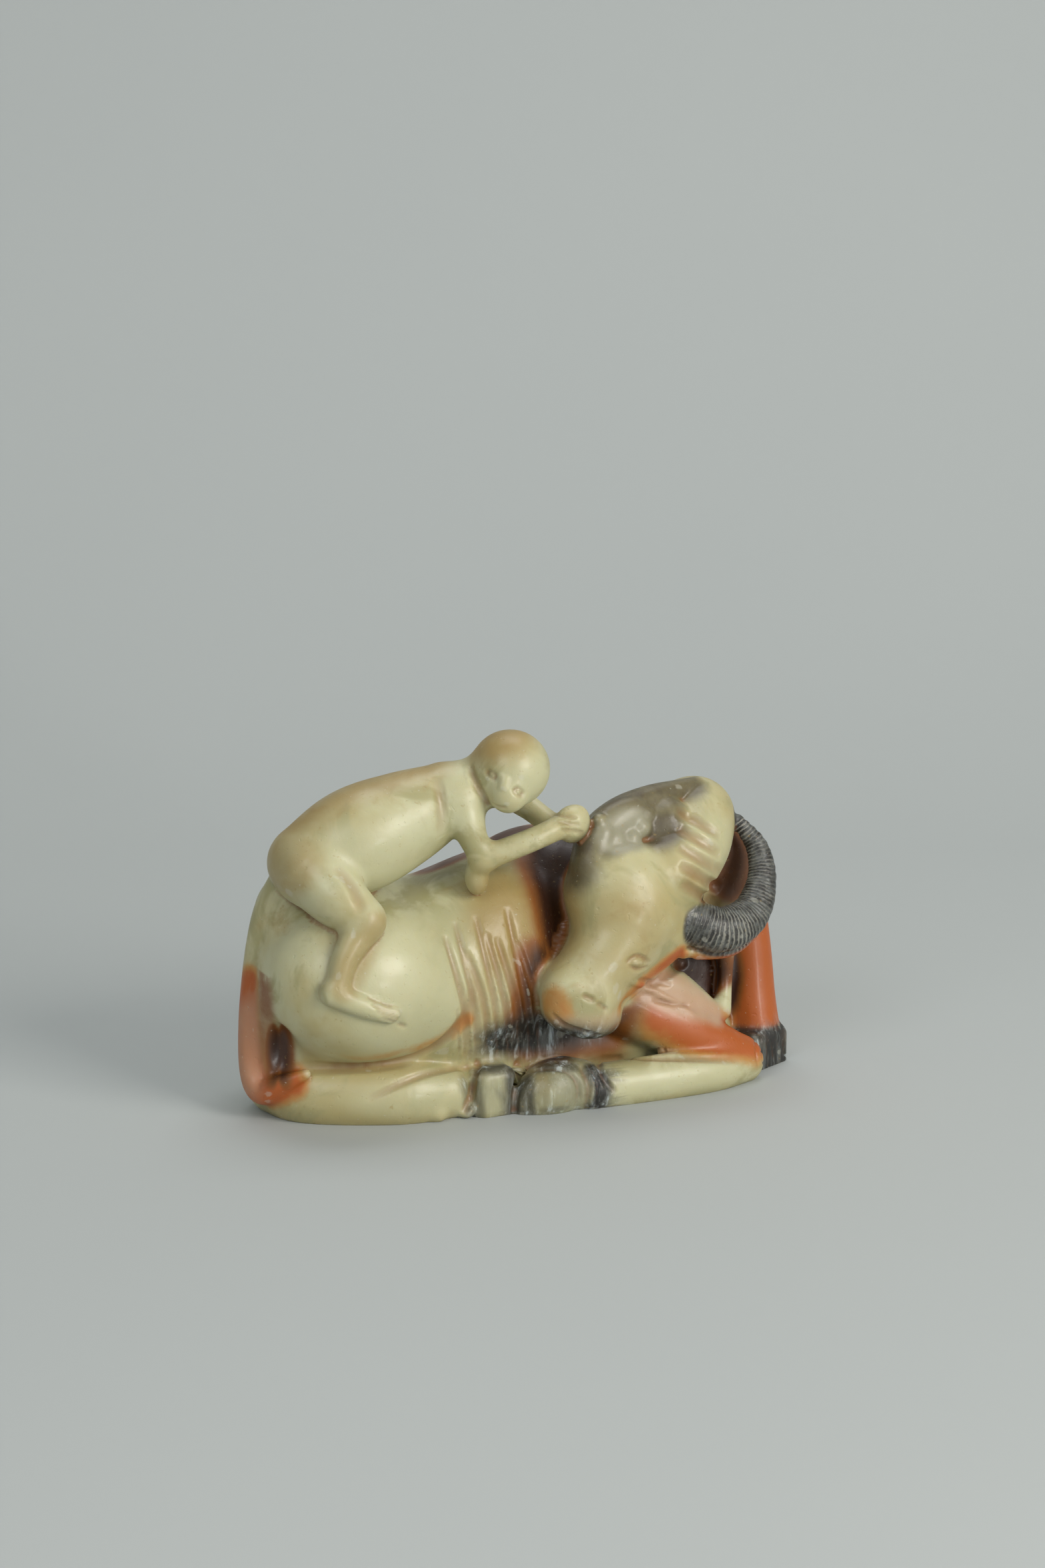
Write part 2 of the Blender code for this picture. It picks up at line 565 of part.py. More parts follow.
def build():
    for old in list(bpy.data.objects):
        bpy.data.objects.remove(old)
    stone = carving()
    piece = rough_skin(stone)
    draw_onto(piece, stone, 3)
    remesh(piece, GRID)
    draw_onto(piece, stone, 2)
    thin_out(piece, stone)
    slice_base(piece)
    centre_over_origin(piece)
    piece.data.transform(Matrix.Scale(UNIT, 4))
    piece.data.shade_smooth()
    piece.data.materials.append(stone_material())
    home = bpy.data.collections.new("netsuke")
    bpy.context.scene.collection.children.link(home)
    bpy.context.scene.collection.objects.unlink(piece)
    home.objects.link(piece)


build()
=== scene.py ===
"""The looks of a small soapstone carving: a bare monkey leaning over the back of a resting water buffalo.

One fine-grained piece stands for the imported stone. It is laid down as lumps and limbs, melted into one
skin and cut with the folds, ribs, hooves and faces. Lengths are in the carving's own units, about a
millimetre, until the piece is finished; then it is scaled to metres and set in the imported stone's place.
"""

import math

import bmesh
import bpy
import numpy as np
from mathutils import Euler, Matrix, Vector


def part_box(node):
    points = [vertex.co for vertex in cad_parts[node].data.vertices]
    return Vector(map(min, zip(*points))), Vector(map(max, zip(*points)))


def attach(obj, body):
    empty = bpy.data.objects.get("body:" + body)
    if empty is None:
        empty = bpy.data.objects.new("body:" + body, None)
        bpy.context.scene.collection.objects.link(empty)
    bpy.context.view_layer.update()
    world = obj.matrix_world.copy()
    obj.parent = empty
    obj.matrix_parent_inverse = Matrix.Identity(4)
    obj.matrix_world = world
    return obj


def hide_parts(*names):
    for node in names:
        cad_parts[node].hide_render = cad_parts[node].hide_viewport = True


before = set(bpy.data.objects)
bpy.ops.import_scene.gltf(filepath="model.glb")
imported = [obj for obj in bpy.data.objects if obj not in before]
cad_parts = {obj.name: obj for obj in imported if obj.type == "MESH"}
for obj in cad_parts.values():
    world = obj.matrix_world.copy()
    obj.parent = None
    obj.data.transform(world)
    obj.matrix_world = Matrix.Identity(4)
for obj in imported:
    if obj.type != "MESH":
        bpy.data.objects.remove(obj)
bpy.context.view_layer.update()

NODE = "buffalo_and_monkey"
PIECE = "carved_stone"
UNIT = 0.001              # metres in one unit of the carving
UNIT_AT_MOST = UNIT * 1.01   # the most it is stretched by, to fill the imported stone's box

ROUGH_GRID = 0.7          # spacing of the first skin's points
ROUGH_ROUNDS = 3          # how often that skin is drawn onto the surface
GRID = 0.23
ROUNDS = 2
FACES = 186000
STROKE_TRACE = 0.03       # the skin counts as carved where a stroke is deeper than this
STROKE_THINNING = 0.3     # how far carved skin is thinned out, next to 1 for plain skin
STROKE_CARE = 1.0         # how strongly that difference counts
BASE_SNAP = 0.0001        # points this close to the resting plane are on it
BASE_MERGE = 0.01         # and points of the cut edge this close to each other are one

MASS_BLEND = 2.2          # how softly the body's masses run into each other, and so on
HOLLOW_BLEND = 1.5
LIMB_BLEND = 0.9
HEAD_BLEND = 1.5
HORN_BLEND = 0.6
MONKEY_BLEND = 1.2
RIDER_BLEND = 0.4
FADE = 0.75               # how soon a stroke thins out towards its ends
STROKE_STEPS = 4          # places laid for each place named in a stroke's plan
GROOVE_FULL = 0.55        # a stroke that cuts this far in gets all of its painted shade
SKULL_CLEAR = 1.4         # the painted shade of the hollows stops this far from the face
HORN_RING = 0.95          # pitch of the rings round the right horn
HORN_RING_DEPTH = 0.22

SIGHT_TURN = -20.0        # strokes are planned in a plane turned and tilted by these degrees,
SIGHT_TILT = 15.0         # as seen from this far in front of this middle
SIGHT_RANGE = 549.0
SIGHT_MIDDLE = (0.0, 0.0, 18.0)
SIGHT_NEAR = 60.0         # a line of sight is followed from this far before the middle
SIGHT_FAR = 40.0          # to this far behind it
SIGHT_STEPS = 60
SIGHT_PACE = 0.8          # in steps of this share of the room there is

PROBE = 0.02              # how far from a point the surface's slope is felt
LEAST_SLOPE = 0.05        # a flatter slope isn't trusted for the length of a move
LONGEST_MOVE = 1.0
LEAST_RADIUS = 0.05
FAR = 1e3                 # farther than any place is from the stone
TINY = 1e-9               # keeps a division by nothing away


class Ball:
    """An ellipsoid lump, turned by Euler degrees."""

    def __init__(self, centre, radii, turn=(0, 0, 0)):
        self.centre = np.array(centre, float)
        self.radii = np.array(radii, float) * np.ones(3)
        self.turn = Euler([math.radians(a) for a in turn]).to_matrix()
        reach = self.radii.max()
        self.low = self.centre - reach
        self.high = self.centre + reach

    def distance(self, points):
        local = (points - self.centre) @ np.array(self.turn)
        outer = np.linalg.norm(local / self.radii, axis=1)
        inner = np.linalg.norm(local / self.radii ** 2, axis=1)
        return outer * (outer - 1.0) / np.maximum(inner, TINY)

    def lumps(self):
        yield Matrix.LocRotScale(Vector(self.centre), self.turn, Vector(self.radii))


class Block:
    """A box with rounded edges, turned by Euler degrees."""

    def __init__(self, centre, half, rounding, turn=(0, 0, 0)):
        self.centre = np.array(centre, float)
        self.half = np.array(half, float)
        self.rounding = rounding
        self.turn = Euler([math.radians(a) for a in turn]).to_matrix()
        reach = np.linalg.norm(self.half)
        self.low = self.centre - reach
        self.high = self.centre + reach

    def distance(self, points):
        local = np.abs((points - self.centre) @ np.array(self.turn)) - (self.half - self.rounding)
        outside = np.linalg.norm(np.maximum(local, 0.0), axis=1)
        return outside + np.minimum(local.max(axis=1), 0.0) - self.rounding

    def lumps(self):
        yield Matrix.LocRotScale(Vector(self.centre), self.turn, Vector(self.half))


class Limb:
    """A tapering limb through (x, y, z, radius) points, flattened along an axis or ringed if asked."""

    def __init__(self, *points, steps=6, flat=None, press=1.0, rings=None):
        self.path = smooth_path(np.array(points, float), steps)
        self.rings = rings
        self.path[:, 3] = np.maximum(self.path[:, 3], LEAST_RADIUS)
        self.flat = None if flat is None else np.array(flat, float) / np.linalg.norm(flat)
        self.press = press
        reach = self.path[:, 3:]
        self.low = (self.path[:, :3] - reach).min(axis=0)
        self.high = (self.path[:, :3] + reach).max(axis=0)

    def distance(self, points):
        best = np.full(len(points), np.inf)
        travelled = 0.0
        for start, end in zip(self.path[:-1], self.path[1:]):
            along = end[:3] - start[:3]
            offset = points - start[:3]
            share = np.clip(offset @ along / max(along @ along, TINY), 0.0, 1.0)
            offset = offset - share[:, None] * along
            if self.flat is not None:
                offset = offset + (self.press - 1.0) * (offset @ self.flat)[:, None] * self.flat
            radius = start[3] + share * (end[3] - start[3])
            stretch = np.linalg.norm(along)
            if self.rings is not None:
                pitch, depth = self.rings
                turns = (travelled + share * stretch) / pitch
                radius = radius - depth * (0.5 + 0.5 * np.cos(2 * np.pi * turns))
            travelled += stretch
            best = np.minimum(best, np.linalg.norm(offset, axis=1) - radius)
        return best

    def travel(self, points):
        """How far along the path each point's nearest place lies."""
        best = np.full(len(points), np.inf)
        length = np.zeros(len(points))
        travelled = 0.0
        for start, end in zip(self.path[:-1, :3], self.path[1:, :3]):
            along = end - start
            stretch = np.linalg.norm(along)
            share = np.clip((points - start) @ along / max(stretch * stretch, TINY), 0.0, 1.0)
            gap = np.linalg.norm(points - start - share[:, None] * along, axis=1)
            nearer = gap < best
            best[nearer] = gap[nearer]
            length[nearer] = travelled + share[nearer] * stretch
            travelled += stretch
        return length

    def lumps(self):
        for x, y, z, radius in self.path:
            yield Matrix.LocRotScale(Vector((x, y, z)), None, Vector((radius,) * 3))


class Blend:
    """Shapes melted together; cuts are hollows taken out of them with the same softness."""

    def __init__(self, softness, shapes, cuts=()):
        self.softness = softness
        self.shapes = list(shapes)
        self.cuts = list(cuts)
        self.low = np.min([s.low for s in self.shapes], axis=0)
        self.high = np.max([s.high for s in self.shapes], axis=0)

    def distance(self, points):
        total = np.full(len(points), FAR)
        for shape in self.shapes:
            near = box_gap(shape, points) < total + self.softness
            if near.any():
                total[near] = melt(total[near], shape.distance(points[near]), self.softness)
        for cut in self.cuts:
            near = box_gap(cut, points) < self.softness - total
            if near.any():
                total[near] = -melt(-total[near], cut.distance(points[near]), self.softness)
        return total

    def lumps(self):
        for shape in self.shapes:
            yield from shape.lumps()


class Stroke:
    """A line cut into the surface, or raised where its depth is negative, fading to its ends."""

    def __init__(self, plan, width, depth, fade=True):
        self.plan = smooth_path(np.array(plan, float), STROKE_STEPS)
        self.width = width
        self.depth = depth
        self.fade = fade

    def lay(self, path):
        """Put the stroke where its plan meets the stone."""
        self.path = path
        self.low = path.min(axis=0)
        self.high = path.max(axis=0)

    def bite(self, points):
        """How far the stroke cuts in at each point."""
        best = np.full(len(points), np.inf)
        place = np.zeros(len(points))
        for i, (start, end) in enumerate(zip(self.path[:-1], self.path[1:])):
            along = end - start
            offset = points - start
            share = np.clip(offset @ along / max(along @ along, TINY), 0.0, 1.0)
            gap = np.linalg.norm(offset - share[:, None] * along, axis=1)
            nearer = gap < best
            best[nearer] = gap[nearer]
            place[nearer] = (i + share[nearer]) / (len(self.path) - 1)
        strength = np.maximum(1.0 - (best / self.width) ** 2, 0.0) ** 2
        if self.fade:
            strength *= np.clip(4 * place * (1 - place), 0.0, 1.0) ** FADE
        return self.depth * strength


class Carved:
    """A blended surface with strokes cut into it, and the places that keep their fine skin."""

    def __init__(self, surface, strokes, fine):
        self.surface = surface
        self.strokes = strokes
        self.fine = fine
        plans = np.vstack([s.plan for s in strokes])
        laid, met = seen_on(surface, plans)
        first = 0
        for stroke in strokes:
            own = slice(first, first + len(stroke.plan))
            stroke.lay(laid[own][met[own]])
            first += len(stroke.plan)

    def distance(self, points):
        total = self.surface.distance(points)
        for stroke in self.strokes:
            near = box_gap(stroke, points) < stroke.width
            if near.any():
                total[near] += stroke.bite(points[near])
        return total

    def in_stroke(self, points):
        """Which points lie in a stroke or in a fine place."""
        found = np.zeros(len(points), bool)
        for stroke in self.strokes:
            near = box_gap(stroke, points) < stroke.width
            if near.any():
                found[near] |= np.abs(stroke.bite(points[near])) > STROKE_TRACE
        for place in self.fine:
            near = box_gap(place, points) <= 0.0
            if near.any():
                found[near] |= place.distance(points[near]) < 0.0
        return found

    def lumps(self):
        yield from self.surface.lumps()


def box_gap(shape, points):
    """Distance from each point to the box around a shape."""
    outside = np.maximum(np.maximum(shape.low - points, points - shape.high), 0.0)
    return np.linalg.norm(outside, axis=1)


def melt(a, b, softness):
    """The smaller of two distances, rounded where they are alike."""
    overlap = np.maximum(softness - np.abs(a - b), 0.0) / softness
    return np.minimum(a, b) - overlap * overlap * softness * 0.25


def smooth_path(points, steps):
    """Points of a smooth curve through the given rows."""
    padded = np.vstack([2 * points[0] - points[1], points, 2 * points[-1] - points[-2]])
    rows = []
    for i in range(1, len(padded) - 2):
        before, start, end, after = padded[i - 1:i + 3]
        for t in np.arange(steps) / steps:
            rows.append(0.5 * (2 * start + (end - before) * t
                               + (2 * before - 5 * start + 4 * end - after) * t ** 2
                               + (3 * start - before - 3 * end + after) * t ** 3))
    rows.append(points[-1])
    return np.array(rows)


def seen_on(surface, plans):
    """Where lines of sight through (across, up) places meet the surface, and which of them do."""
    turn, tilt = math.radians(SIGHT_TURN), math.radians(SIGHT_TILT)
    back = np.array([math.sin(turn) * math.cos(tilt), -math.cos(turn) * math.cos(tilt), math.sin(tilt)])
    right = np.array([math.cos(turn), math.sin(turn), 0.0])
    up = np.cross(back, right)
    middle = np.array(SIGHT_MIDDLE)
    eye = middle + SIGHT_RANGE * back
    rays = middle + plans[:, :1] * right + plans[:, 1:] * up - eye
    rays /= np.linalg.norm(rays, axis=1)[:, None]
    travelled = np.full(len(plans), SIGHT_RANGE - SIGHT_NEAR)
    for _ in range(SIGHT_STEPS):
        gap = surface.distance(eye + travelled[:, None] * rays)
        travelled = np.minimum(travelled + SIGHT_PACE * gap, SIGHT_RANGE + SIGHT_FAR)
    return eye + travelled[:, None] * rays, travelled < SIGHT_RANGE + SIGHT_FAR


def buffalo_body():
    """Trunk, belly, croup, withers and both haunches."""
    trunk = Limb((-21.5, 2.8, 14, 10.2), (-12, 1.8, 15.0, 11.9), (-3.5, 2.8, 15.4, 11.5),
                 (6.5, 6.2, 16.5, 9.2), (16, 6.5, 14.5, 8.6), (23, 5.5, 12, 7.0))
    belly = Limb((-24, 1.5, 5, 6.8), (-10, 1.5, 5, 8.0), (8, 2.5, 5, 7.5), (22, 2.5, 5, 6.5))
    croup = Limb((-20, 3, 19, 9.0), (-25.4, 2.5, 23.6, 5.8))
    withers = Ball((5.0, 5.4, 21.6), (12.0, 7.0, 9.6))
    saddle = Ball((-4.0, 1.5, 20.6), (9.0, 8.5, 8.5))
    shoulder = Ball((13, 8, 15), (9, 6.5, 10))
    yoke = Ball((8.6, 0.4, 20.5), (6.0, 5.6, 9.5))
    rump = Limb((-27.4, 3.0, 23.5, 3.6), (-29.5, 3.4, 14, 3.6), (-29.6, 3.0, 5, 3.8))
    hip = Limb((-28.6, 0.2, 22.5, 3.0), (-29.8, -0.2, 14, 3.2), (-29.2, -0.6, 6, 3.2))
    near_haunch = Ball((-20.8, -4.2, 16.6), (12.0, 9.2, 9.8), (0, 8, 0))
    far_haunch = Ball((-19.5, 7, 15), (12, 7.6, 10))
    return Blend(MASS_BLEND, [trunk, belly, croup, withers, saddle, shoulder, yoke, rump,
                              hip, near_haunch, far_haunch])


def buffalo_neck():
    """The neck climbs from the far shoulder, arches over and comes down to the poll."""
    arch = Limb((14, 7.5, 18, 8.6), (19, 7, 25, 7.2), (22.8, 4.4, 30, 5.2),
                (23.6, 0.6, 32.0, 4.5), (21.5, -3.4, 29.6, 4.5), (17.5, -5.5, 26.5, 5.2), steps=10)
    nape = Ball((18.0, 3.0, 30.4), (4.6, 4.4, 4.4))
    side = Limb((24.2, 3.4, 28.6, 3.2), (27.0, 4.2, 25.0, 4.0), (27.6, 4.6, 20.0, 4.4))
    return Blend(MASS_BLEND, [arch, nape, side])


def tail_hollow():
    """The groove between the tail and the near haunch, deepest at its foot."""
    return Ball((-31.2, -4.8, 8.6), (1.6, 2.8, 3.6), (0, 0, -20))


def buffalo_head():
    """Broad forehead turned to the near side, and a long face down to a square muzzle."""
    brow = Ball((11.8, -6.2, 24.4), (8.0, 5.8, 6.8), (0, 30, 0))
    face = Limb((11.5, -6.8, 22, 6.0), (8.2, -8.2, 17.8, 4.9), (4.6, -9.2, 14.4, 4.2), steps=10)
    muzzle = Block((4.4, -9.4, 13.2), (4.3, 3.9, 3.7), 2.9, (0, 22, -8))
    nose = Ball((2.2, -9.9, 15.2), (2.1, 2.7, 1.9))
    lip = Ball((5.0, -9.3, 11.2), (4.1, 3.4, 2.2), (0, 12, 0))
    chin = Ball((6.6, -8.8, 10.8), (3.2, 2.8, 1.9), (0, 8, 0))
    cheek = Limb((15.8, -5.8, 19.8, 4.2), (11.5, -6.5, 15.8, 3.4), (6.5, -8.4, 12.4, 2.6), steps=10)
    return Blend(HEAD_BLEND, [brow, face, muzzle, nose, lip, chin, cheek])


def horns_and_ear():
    """Two crescents that sweep back over the neck, broad at the root, and an ear under the right one."""
    right = Limb((18.8, -7.8, 21.4, 2.7), (23, -8.4, 19.9, 2.8), (27.4, -7.0, 21.0, 2.4),
                 (29.9, -4.8, 24.6, 1.8), (30.0, -3.0, 28.2, 1.4), (28.0, -1.6, 31.4, 0.8),
                 flat=(-0.34, -0.91, 0.22), press=1.25, steps=12, rings=(HORN_RING, HORN_RING_DEPTH))
    left = Limb((7.4, -6.4, 28.8, 2.8), (8.6, -5.2, 31.6, 2.6), (11.8, -3.8, 33.5, 2.5),
                (16.2, -2.2, 34.9, 1.9), (21.0, -0.8, 35.6, 1.3), (23.2, 0.0, 36.0, 0.9), steps=12)
    inner = Ball((11.2, -4.7, 32.8), (4.4, 1.9, 2.9), (0, -28, 0))
    backing = Limb((14.4, -2.6, 31.6, 3.4), (17.8, -3.2, 32.2, 3.3))
    lobes = [Ball((x, y, z), radius) for x, y, z, radius in (
        (8.2, -6.2, 34.0, 0.9), (8.6, -6.5, 32.4, 1.2), (10.3, -6.5, 31.3, 1.3),
        (12.3, -6.3, 31.5, 1.2), (13.8, -5.8, 32.6, 1.1), (14.8, -5.1, 34.0, 0.8))]
    ear = Limb((19.0, -7.6, 17.0, 0.9), (24.4, -7.2, 16.9, 1.1), (28.6, -5.6, 18.0, 0.6),
               flat=(0.3, 0.4, 1), press=1.3, steps=10)
    return [right, left, inner, backing] + lobes + [ear]


def near_legs():
    """The near legs folded flat along the base."""
    hind = Limb((-29.4, 2.2, 3, 3.6), (-26.4, -2.4, 3, 4.2), (-17.5, -6.2, 3, 4.2),
                (-11.6, -6.8, 2.8, 3.4), steps=10)
    hind_hoof = Block((-6.2, -7.0, 2.6), (2.7, 3.2, 3.2), 1.4, (0, 0, 8))
    fore = Limb((6.6, -9.2, 2.1, 2.8), (15.5, -8.4, 2.1, 2.9), (22, -7.4, 2.1, 2.9),
                (27.2, -5.2, 2.2, 2.8), steps=10)
    fore_hoof = Limb((-2.0, -9.0, 1.0, 2.0), (0.8, -8.8, 2.2, 3.4), (3.0, -8.4, 2.6, 3.4))
    pastern = Ball((5.2, -8.8, 2.4), (2.2, 3.1, 3.0))
    upper_arm = Limb((12, -2.6, 11.0, 4.7), (18.5, -4.4, 7.6, 3.8), (23.0, -5.0, 5.0, 3.0),
                     (27.0, -4.9, 3.1, 2.3), steps=10)
    dewclaws = [Ball((x, -9.0, 0.9), (0.9, 1.3, 0.9)) for x in (-13.2, -9.6)]
    return [hind, hind_hoof, fore, fore_hoof, pastern, upper_arm] + dewclaws


def chest():
    """The upright far foreleg with its hoof, the chest above it and the dewlap's thin strut."""
    far_fore = Limb((31.0, 3.6, 21, 2.6), (31.6, 2.6, 14, 2.6), (31.7, 1.8, 8, 2.8), (32.0, 1.0, 3.5, 2.9),
                    steps=10)
    hoof = Block((31.5, 0.6, 1.8), (3.8, 2.8, 2.8), 1.3, (0, 0, 32))
    front = Limb((20, 5, 20, 6.5), (27, 4.6, 20.5, 4.6), (31, 3.6, 21, 2.8))
    breast = Limb((13.0, -3.4, 14.5, 3.2), (18.0, -3.8, 11.6, 3.0), (23.2, -4.2, 8.6, 1.6), steps=10)
    far_shoulder = Limb((28.8, 3.8, 19, 2.4), (29.6, 3.4, 12, 2.3), (30.2, 2.4, 5, 2.4))
    dewlap = Limb((26.0, -2.6, 17, 1.4), (26.2, -2.4, 12, 0.9), (25.2, -3.8, 8.4, 1.2))
    web = Limb((27.2, 1.8, 29.8, 1.5), (28.8, 1.8, 26.8, 1.9), (29.4, 2.4, 23.0, 2.2))
    return [far_fore, far_shoulder, hoof, front, breast, dewlap, web]


def tail():
    """The tail hangs down the rump and its tuft lies over the hock."""
    return Limb((-28.4, 2, 27.4, 2.0), (-31.0, 1.4, 22.6, 1.8), (-32.7, 0.8, 14, 1.6), (-33.0, 0.4, 6, 1.6),
                (-32.4, -1.6, 3.4, 1.5), (-30.6, -4.2, 5.0, 1.1), (-28.4, -5.9, 6.4, 0.6), steps=10)


def far_legs():
    """The hidden side, plainer: a folded hind leg and the far foreleg's elbow."""
    hind = Limb((-28, 4, 3, 4.0), (-20, 9.5, 3, 4.2), (-10, 10.8, 2.8, 3.4), (-5, 10.6, 2.4, 3.2))
    hoof = Block((-2.6, 10.6, 2.4), (2.4, 2.8, 2.9), 1.3, (0, 0, -4))
    elbow = Limb((14, 9, 9, 5.0), (24, 8, 5, 4.4), (29.5, 4.6, 2.6, 3.2))
    return [hind, hoof, elbow]


def monkey():
    """Bald round head, long back and thin limbs, with both hands brought to the buffalo's horn."""
    torso = Limb((-26.4, -2, 30.8, 4.9), (-20.8, -2, 33.0, 6.3), (-15.4, -2, 35.0, 5.7),
                 (-10.2, -2, 37.0, 4.4), steps=12)
    neck = Limb((-9.0, -2.6, 38.0, 3.5), (-4.6, -4.2, 39.8, 3.1))
    head = Ball((-2.6, -5.2, 41.0), (4.7, 4.7, 4.6))
    jaw = Ball((-3.9, -8.1, 38.5), (2.1, 2.1, 2.1))
    near_arm = Limb((-8.6, -4.2, 37.4, 3.1), (-8.0, -6.2, 34.2, 1.9), (-6.7, -6.6, 31.0, 1.5), steps=10)
    elbow = Ball((-7.0, -5.8, 28.4), (1.4, 1.6, 2.2))
    forearm = Limb((-6.4, -7.1, 30.9, 1.5), (-1.4, -8.0, 32.7, 1.4), (2.0, -7.8, 33.8, 1.4),
                   (4.2, -7.0, 34.4, 1.6), steps=10)
    far_arm = Limb((-6.0, 1.4, 37.2, 2.8), (-1.4, 1.2, 37.0, 2.2), (0.8, -1.6, 35.4, 1.5),
                   (2.6, -4.6, 33.8, 1.4), steps=10)
    hand = Ball((4.9, -6.8, 34.0), (1.8, 1.6, 2.3), (0, 20, 0))
    thigh = Limb((-26.4, -4.4, 30.2, 4.3), (-24.6, -7.9, 27.6, 3.4), (-22.4, -10.2, 25.8, 2.4), steps=10)
    shin = Limb((-22.5, -10.5, 25.2, 2.2), (-25.1, -11.6, 21.8, 1.6), (-26.4, -12.2, 18.6, 1.3), steps=10)
    foot = Limb((-27.2, -12.2, 17.6, 1.3), (-23.6, -13.0, 16.1, 1.35), (-20.2, -13.4, 14.8, 1.0), steps=10)
    far_thigh = Limb((-26.2, 1.0, 30.2, 4.3), (-23.6, 6.4, 28.0, 3.6), (-21.4, 9.6, 25.2, 2.6))
    far_shin = Limb((-21.4, 9.8, 25.0, 2.3), (-24.2, 12.0, 20.6, 1.7), (-25.0, 12.8, 18.0, 1.4), steps=10)
    far_foot = Limb((-25.4, 12.9, 17.2, 1.4), (-22.2, 13.5, 15.8, 1.3), (-19.4, 13.6, 14.8, 1.0), steps=10)
    return Blend(MONKEY_BLEND, [torso, neck, head, jaw, near_arm, elbow, forearm, hand, far_arm,
                                thigh, shin, foot, far_thigh, far_shin, far_foot])


def hide_strokes():
    """Skin folds behind the ribs, bands across the neck and the edge of the haunch."""
    strokes = []
    for i in range(8):
        across = -5.8 + 1.24 * i
        rise = 2.2 * math.sin(2.4 * i) + 0.2 * i
        plan = [(across - 2.8, 1.2 + rise), (across - 1.4, -3.2 + 0.4 * rise), (across - 0.3, -7.8),
                (across, -13.6)]
        strokes.append(Stroke(plan, 0.66, 0.78 + 0.1 * math.sin(3.7 * i)))
    for i in range(14):
        across = -6.8 + 0.66 * i
        top = -7.6 + 1.5 * math.sin(5.1 * i)
        strokes.append(Stroke([(across - 0.2, top), (across + 0.1, -14.2)], 0.34, 0.32))
    for i in range(5):
        up = 15.6 - 2.15 * i
        strokes.append(Stroke([(19.2 + 0.15 * i, up + 0.5), (21.8, up - 0.8), (24.6, up - 2.6)], 1.1, 0.6))
    haunch = [(-25.8, -14.8), (-20.2, -14.6), (-13.8, -13.8), (-9.0, -11.8), (-5.8, -8.2), (-4.8, -4.2)]
    strokes.append(Stroke(haunch, 1.1, 0.8))
    strokes.append(Stroke([(-17.8, -18.6), (-13.8, -16.6), (-9.8, -15.2), (-4.2, -14.4)], 0.7, 0.5))
    return strokes


def hoof_strokes():
    """Clefts, the turned edges round the hooves and the lines down the far one."""
    strokes = [
        Stroke([(-4.6, -14.2), (-5.2, -17.0), (-6.0, -19.8)], 0.7, 0.8, fade=False),
        Stroke([(0.2, -14.2), (-0.1, -17.4), (-0.2, -20.6)], 0.7, 0.9, fade=False),
        Stroke([(0.6, -15.6), (3.0, -14.9), (6.0, -15.2), (7.4, -17.0), (7.0, -20.2)], 0.45, 0.4),
        Stroke([(7.6, -14.4), (8.7, -17.0), (8.2, -20.0)], 0.5, 0.55),
        Stroke([(8.6, -14.2), (9.8, -16.6), (9.4, -19.6)], 0.4, 0.4),
        Stroke([(9.8, -14.0), (10.6, -16.2), (12.0, -17.8)], 0.6, 0.6),
        Stroke([(9.8, -13.8), (15.0, -13.6), (22.0, -13.6), (27.0, -13.9)], 0.8, 0.5),
    ]
    for i in range(6):
        across = 28.9 + 0.68 * i
        strokes.append(Stroke([(across - 0.3, -10.9 - 0.1 * i), (across + 0.1, -15.0)], 0.3, 0.25))
    return strokes


def face_strokes():
    """The buffalo's jaw, mouth, the cuts of its breast, its nostrils and its eye."""
    return [
        Stroke([(21.8, -1.0), (18.2, -3.4), (15.0, -5.4), (12.6, -7.4)], 1.0, 0.8),
        Stroke([(4.2, -8.2), (6.2, -9.8), (10.2, -10.9)], 0.5, 0.55),
        Stroke([(13.2, -4.2), (17.0, -5.8), (21.8, -8.6)], 0.6, -0.3),
        Stroke([(14.6, -4.2), (18.8, -4.8)], 0.5, 0.45),
        Stroke([(16.4, -6.6), (20.8, -7.4)], 0.5, 0.4),
        Stroke([(8.3, -6.2), (9.2, -6.6)], 0.5, 0.5, fade=False),
        Stroke([(10.0, -7.2), (10.8, -7.7)], 0.45, 0.45, fade=False),
        Stroke([(14.35, -2.15), (14.95, -2.15)], 0.55, -0.3, fade=False),
        Stroke([(13.2, -2.2), (14.6, -1.35), (16.1, -2.2)], 0.45, 0.55),
        Stroke([(13.5, -2.5), (14.7, -3.0), (15.9, -2.6)], 0.4, 0.5),
    ]


def monkey_strokes():
    """Its flank, shoulder and neck, its eyes, mouth and nose, and its toes and fingers."""
    strokes = [
        Stroke([(-21.8, 9.4), (-19.6, 7.0), (-18.4, 3.8)], 1.1, 0.4),
        Stroke([(-9.6, 20.2), (-9.0, 17.0), (-8.9, 13.0)], 1.0, 0.35),
        Stroke([(-5.6, 21.6), (-4.6, 19.0), (-3.2, 16.6)], 0.7, 0.5),
        Stroke([(-3.3, 20.6), (-2.7, 20.2)], 0.75, 0.4, fade=False),
        Stroke([(0.1, 18.5), (0.7, 18.1)], 0.75, 0.4, fade=False),
        Stroke([(-2.8, 16.9), (-1.9, 16.5), (-1.1, 16.5)], 0.35, 0.35),
        Stroke([(-1.2, 20.4), (-1.7, 18.4)], 0.85, -0.35),
        Stroke([(-3.15, 20.5), (-2.85, 20.3)], 0.42, -0.35, fade=False),
        Stroke([(0.25, 18.4), (0.55, 18.2)], 0.42, -0.35, fade=False),
    ]
    for i in range(4):
        start = (-17.9 + 0.55 * i, -6.3 - 0.8 * i)
        strokes.append(Stroke([start, (start[0] + 3.2, start[1] - 1.2)], 0.45, 0.35))
    for i in range(3):
        start, end = (4.4 + 0.5 * i, 15.7 - 0.9 * i), (7.4 + 0.4 * i, 15.2 - 0.9 * i)
        strokes.append(Stroke([start, end], 0.42, 0.35))
    return strokes


